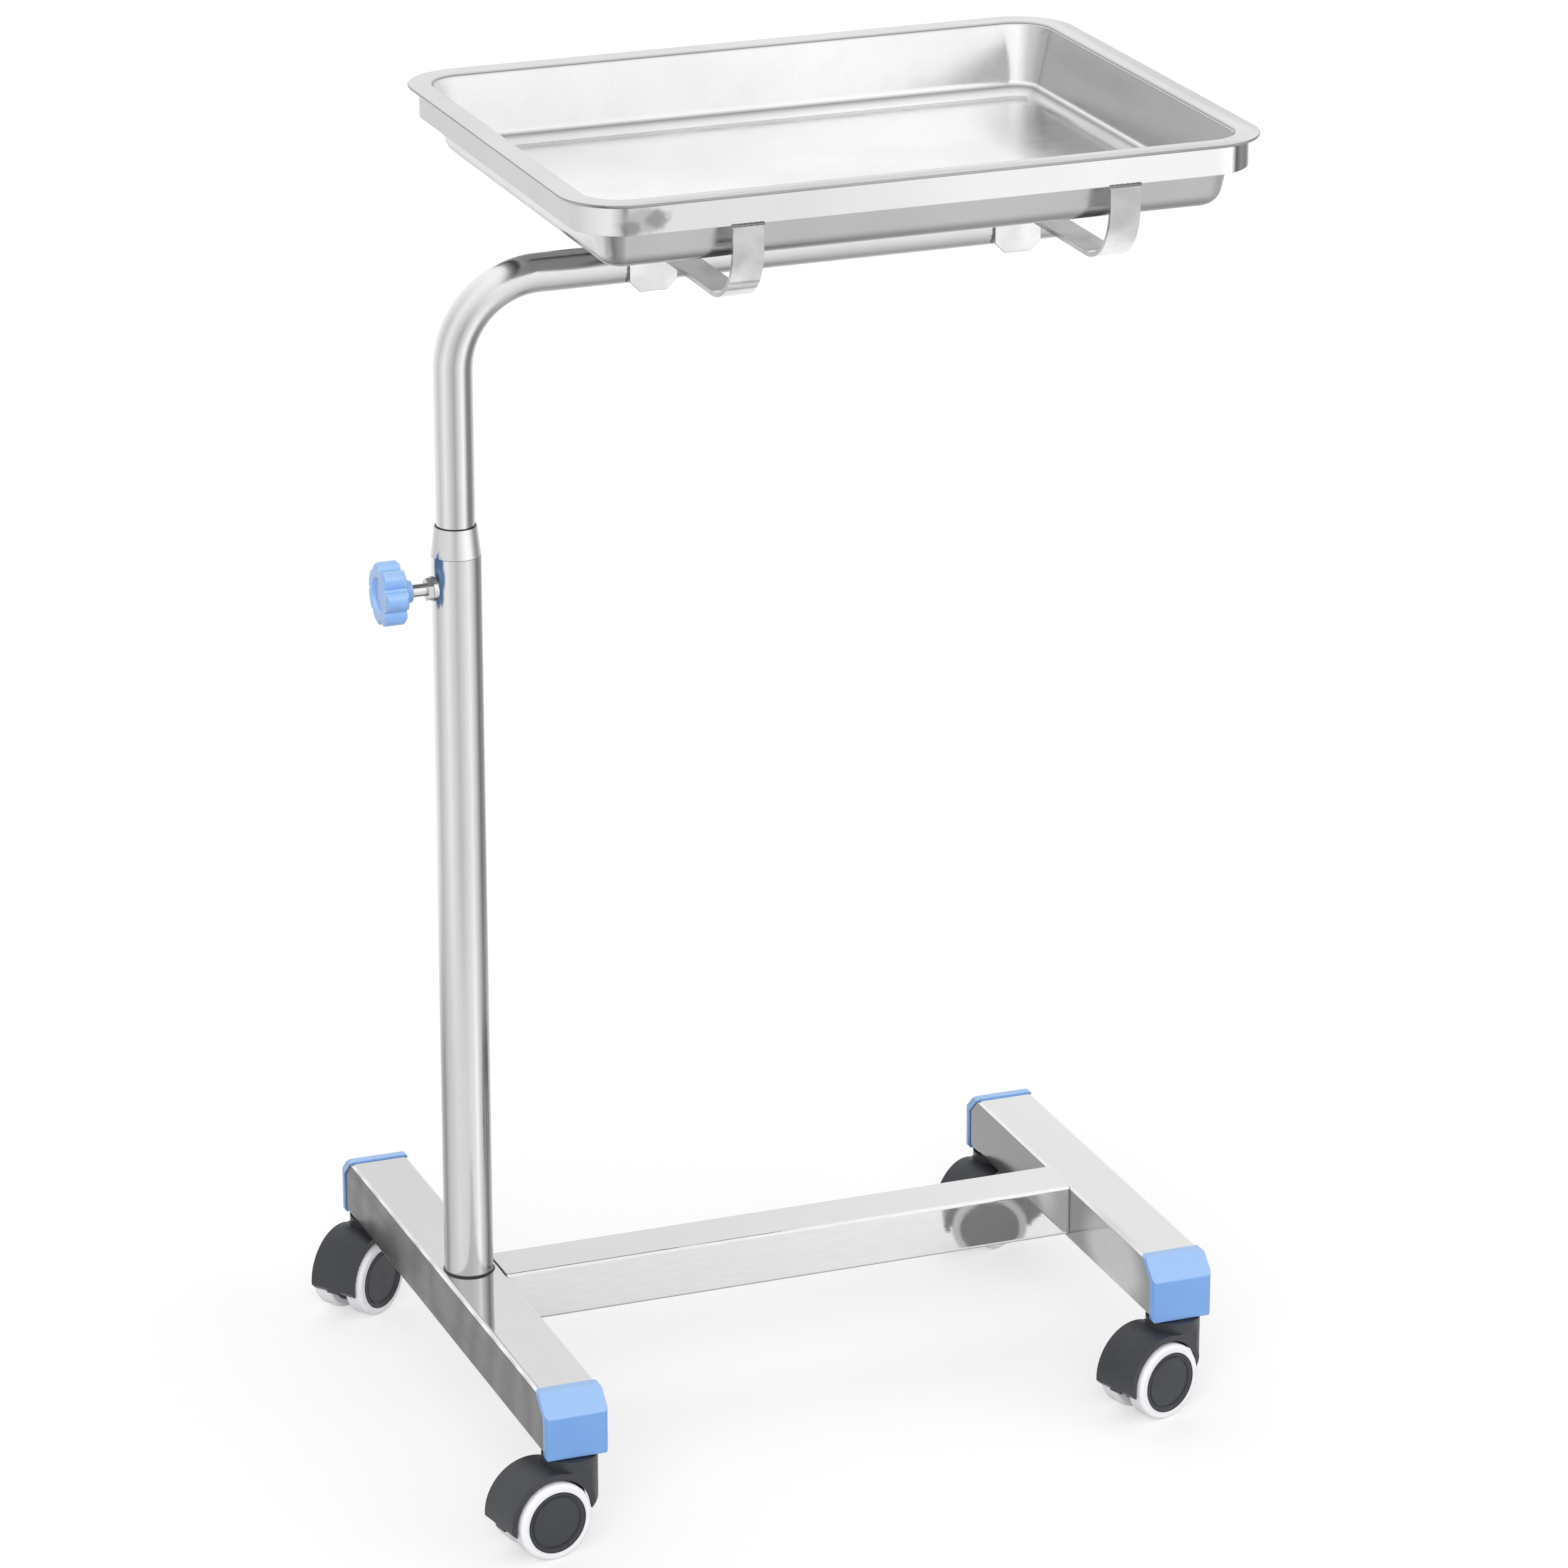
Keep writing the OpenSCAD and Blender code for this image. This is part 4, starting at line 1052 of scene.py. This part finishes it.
class Cart:
    """The whole cart: its finishes, and its sub-assemblies in the order that they are put together."""

    BEND_RADIUS = 57 * MM

    def __init__(self) -> None:
        """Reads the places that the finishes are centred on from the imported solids."""
        low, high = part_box("column_tube")
        self.axis = (low + high) / 2
        self.column_length = high.z - low.z
        low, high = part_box("tray")
        self.tray_middle = (low + high) / 2

    def column_steel(self) -> Steel:
        """Makes the column's finish: painted reflection bands round the tube, plainer towards the foot, and a painted
        shadow line at its foot.

        Returns:
            The finish.
        """
        upper = ((176, 240), (204, 187), (229, 230), (252, 186), (280, 236), (291, 200), (305, 112), (325, 130),
                 (350, 165), (20, 225), (70, 190), (110, 232), (150, 205))
        lower = ((176, 170), (195, 138), (207, 190), (232, 216), (256, 212), (272, 228), (279, 250), (287, 214),
                 (306, 128), (325, 180), (350, 170), (20, 225), (70, 195), (110, 230), (150, 200))
        # The dark line at the foot is a painted shadow, laid over the weld where the column meets the foot.
        foot = self.axis.z - self.column_length / 2
        return Steel("column_steel", upper, lower=lower, lower_span=(0.22, 0.42), centre=tuple(self.axis), rough=0.13,
                     seams=((foot, 1.3 * MM, 62.0),), grain=(1.0, 1.0, 0.05), drift=0.04)

    def collar_steel(self) -> Steel:
        """Makes the collar's finish: painted reflection bands, a painted dark top, a dark seam line at the column's
        top and a painted shadow line round its own mouth.

        Returns:
            The finish.
        """
        column_top = self.axis.z + self.column_length / 2
        collar_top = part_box("guide_collar")[1].z
        # Painted reflection bands; slope paints the top dark, and the line at the collar's top is a painted shadow of
        # the gap.
        bands = ((176, 212), (194, 196), (212, 210), (236, 218), (251, 186), (270, 240), (280, 255), (290, 240),
                 (300, 170), (310, 132), (325, 185), (0, 200), (90, 215), (150, 210))
        return Steel("collar_steel", bands, slope=((0.6, 120), (1.0, 96)), rough=0.1, drift=0.04,
                     seams=((column_top, 0.4 * MM, 150.0), (collar_top, 0.7 * MM, 60.0)))

    def arm_steel(self) -> BentSteel:
        """Makes the arm's finish: painted reflection bands round the tube, rising and level.

        Returns:
            The finish.
        """
        rising = ((176, 236), (206, 196), (225, 232), (254, 168), (274, 236), (280, 246), (293, 134), (306, 122),
                  (325, 196), (0, 225), (60, 195), (110, 232), (150, 205))
        level = ((185, 246), (213, 248), (236, 240), (247, 236), (252, 246), (262, 234), (280, 215), (314, 150),
                 (0, 205), (60, 220), (120, 215), (160, 240))
        low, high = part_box("arm_tube")
        bend = self.BEND_RADIUS
        centre = (self.axis.x + bend, self.axis.y, high.z - (high.y - low.y) / 2 - bend)
        return BentSteel("arm_steel", rising, level=level, bend_radius=bend, centre=centre, drift=0.04)

    def beam_steels(self) -> dict[str, Steel]:
        """Makes the finishes of the foot's beams: painted reflections by facing direction, painted shade underneath,
        painted reflection ripples on the mast beam, a painted highlight on the toe beam and a painted light gradient
        along the spine.

        Returns:
            The finishes by node name.
        """
        # Painted reflection ripples on the mast beam's left face.
        ripple = Ripple(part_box("mast_beam")[0].x + 1 * MM)
        toe_low, toe_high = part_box("toe_beam")
        # A painted highlight on the toe beam's left face.
        sheen = Spot(
            (toe_low.x, toe_low.y + 62 * MM, (toe_low.z + toe_high.z) / 2), (8 * MM, 60 * MM, 34 * MM), 206.0, 0.8)
        low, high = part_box("spine_beam")
        mast = Steel(
            "mast_beam_steel", ((180, 102), (225, 118), (270, 205), (0, 190), (90, 205)), slope=((0.35, 246),
            (0.7, 240), (0.97, 206), (1.0, 206)), under=110, grain=(1.0, 0.16, 1.0), over=(ripple,), rough=0.22,
            top_rough=0.035, lines_scale=300.0, streak=0.07, drift=0.07)
        toe = Steel(
            "toe_beam_steel", ((180, 140), (225, 160), (270, 215), (0, 195), (90, 205)), slope=((0.35, 246),
            (0.7, 242), (0.97, 228), (1.0, 228)), under=120, grain=(1.0, 0.16, 1.0), over=(sheen,), rough=0.12,
            top_rough=0.07, lines_scale=420.0, streak=0.06, drift=0.05)
        spine = Steel(
            "spine_steel", ((180, 200), (270, 232), (0, 200), (90, 200)), slope=((0.35, 246), (0.7, 242), (0.97, 223),
            (1.0, 223)), under=130, grain=(0.16, 1.0, 1.0), over=(Wash("X", low.x, high.x, 0.93, 1.06),), rough=0.045,
            metal=0.8, lines_scale=420.0, streak=0.04, drift=0.05)
        return {"mast_beam": mast, "toe_beam": toe, "spine_beam": spine}

    def tray_steel(self) -> Steel:
        """Makes the tray's finish from painted reflections: bright inside with a painted grey reflection on the floor
        near its far end, painted shade on its far wall and along its rims, darker outside.

        Returns:
            The finish.
        """
        low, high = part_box("tray")
        middle = self.tray_middle
        # Painted light and shade: a slight gradient along x, a darker top edge of the rim, a grey reflection on the
        # floor near the far end, a shade on the far wall, and darker tones along the near rim and the rim at the far
        # end.
        shades = (
            Wash("X", low.x, high.x, 1.0, 1.02), Wash("Z", high.z - 3 * MM, high.z - 1 * MM, 1.0, 0.72),
            Spot((high.x - 52 * MM, middle.y + 10 * MM, low.z), (58 * MM, 150 * MM, 6 * MM), 176.0, 0.6),
            Spot((high.x - 14 * MM, middle.y + 60 * MM, high.z - 14 * MM), (14 * MM, 110 * MM, 14 * MM), 150.0, 0.4),
            Spot((middle.x, low.y + 3 * MM, high.z), (300 * MM, 8 * MM, 3 * MM), 190.0, 0.6),
            Spot((high.x - 3 * MM, middle.y, high.z), (8 * MM, 250 * MM, 3 * MM), 190.0, 0.6))
        # outer and inner are painted reflections by facing direction, slope the painted reflection of upward faces,
        # under the painted shade of downward faces.
        outer = ((180, 222), (215, 212), (236, 120), (255, 160), (264, 190), (280, 186), (300, 160), (315, 142),
                 (0, 170), (90, 200))
        inner = ((180, 170), (205, 186), (225, 206), (246, 255), (262, 252), (280, 246), (315, 230), (0, 236),
                 (45, 200), (90, 200), (135, 174))
        return Steel("tray_steel", outer, inner=inner, centre=tuple(middle), over=shades, rough=0.15, drift=0.07,
                     slope=((0.42, 252), (0.6, 156), (0.78, 220), (0.97, 252), (1.0, 252)), under=132)

    def hoop_steel(self) -> Steel:
        """Makes the finish of the frame that the tray sits in: painted reflections, a painted light gradient along it,
        and darker ragged patches near its left corner.

        Returns:
            The finish.
        """
        low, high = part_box("tray_frame")
        # Darker ragged patches near the frame's left corner.
        marks = (Spot((low.x + 36 * MM, low.y, high.z - 11 * MM), (19 * MM, 9 * MM, 12 * MM), 178.0, 0.85, 0.8),
                 Spot((low.x + 45 * MM, low.y, high.z - 11 * MM), (9 * MM, 9 * MM, 8 * MM), 130.0, 0.6, 0.8),
                 Spot((low.x + 27 * MM, low.y, high.z - 15 * MM), (8 * MM, 9 * MM, 6 * MM), 126.0, 0.6, 0.8))
        # Painted reflection bands, inner walls and upward faces, and the painted shade of downward faces.
        bands = ((180, 206), (200, 214), (228, 236), (240, 240), (250, 205), (256, 150), (262, 214), (270, 230),
                 (288, 246), (295, 84), (305, 128), (316, 74), (330, 120), (345, 205), (0, 215), (90, 215))
        return Steel(
            "hoop_steel", bands, inner=((180, 150), (270, 160), (0, 170), (90, 140)), rough=0.08, drift=0.05,
            slope=((0.5, 225), (1.0, 218)), under=150, centre=tuple(self.tray_middle),
            over=(Wash("X", low.x, high.x, 0.93, 1.18), *marks))

    def finishes(self) -> Finishes:
        """Makes every finish.

        Returns:
            The finishes.
        """
        table = {
            # Each steel here has painted reflections by facing direction and the painted light and shade of its
            # downward faces.
            "plated": Steel(
                "plated_steel", ((180, 150), (225, 190), (270, 215), (315, 120), (0, 160), (90, 200)),
                slope=((0.5, 200), (1.0, 190)), under=120, rough=0.25, drift=0.08),
            "fastener": Steel(
                "fastener_steel", ((180, 190), (205, 96), (225, 235), (262, 248), (285, 120), (315, 90), (0, 170),
                (90, 200)), slope=((0.15, 240), (0.5, 252), (0.8, 150), (1.0, 110)), under=70, rough=0.12, drift=0.06),
            "weld": Steel(
                "weld_bead", ((180, 120), (270, 165), (0, 140), (90, 150)), slope=((0.5, 160), (1.0, 150)), under=80,
                rough=0.35, drift=0.3, lines=0.3),
            "strap": Steel(
                "strap_steel", ((180, 180), (215, 252), (240, 250), (258, 188), (270, 200), (282, 188), (300, 120),
                (325, 104), (0, 165), (90, 190)), slope=((0.5, 244), (1.0, 248)), under=236, rough=0.12, drift=0.16,
                drift_scale=55.0),
            "saddle": Steel(
                "saddle_steel", ((180, 170), (225, 96), (258, 240), (282, 240), (315, 110), (0, 170), (90, 210)),
                slope=((0.3, 120), (0.6, 180), (1.0, 170)), under=130, rough=0.15, drift=0.14, drift_scale=60.0),
            # The blue plastics' last colour is painted light: a lighter tone on upward faces.
            "cap": Plastic(
                "light_blue_plastic", (124, 168, 228), (114, 160, 222), 0.34, 1800.0, 0.06, 0.3, (153, 189, 236)),
            "knob": Plastic(
                "knob_blue_plastic", (142, 185, 240), (130, 175, 234), 0.28, 1800.0, 0.06, 0.4, (162, 199, 243)),
            "shell": Plastic("dark_shell_plastic", (54, 56, 61), (46, 48, 53), 0.42, 2600.0, 0.12),
            "hub": Plastic("dark_hub_plastic", (55, 58, 63), (47, 49, 54), 0.4, 2600.0, 0.1),
            "tyre": Plastic("pale_tyre", (248, 249, 251), (241, 242, 245), 0.5, 1600.0, 0.12),
            # A dark finish for the painted shadow of the gap between hub and tyre.
            "trim": Plastic("painted_gap_shadow_plastic", (30, 31, 34), (24, 25, 28), 0.5, 2600.0, 0.1),
            "plug": Plastic("grey_plug_plastic", (160, 160, 161), (148, 148, 150), 0.45),
            "bush": Plastic("natural_nylon", (226, 222, 210), (218, 214, 200), 0.5),
            "column": self.column_steel(), "collar": self.collar_steel(), "arm": self.arm_steel(),
            "hoop": self.hoop_steel(), "sheet": self.tray_steel()}
        beams = {node: steel.build() for node, steel in self.beam_steels().items()}
        return Finishes(beams, **{name: finish.build() for name, finish in table.items()})

    def build(self) -> None:
        """Dresses every sub-assembly in its finishes."""
        finishes = self.finishes()
        for assembly in (Foot, Column, Clamp, Arm, Tray):
            assembly(finishes).build()
        for beam in Beam:
            for side in Side:
                Caster(finishes, beam, side).build()


def main() -> None:
    """Builds the studio and the cart."""
    logging.basicConfig(level=logging.INFO, format="%(message)s")
    Studio().build()
    Cart().build()


if __name__ == "__main__":
    main()
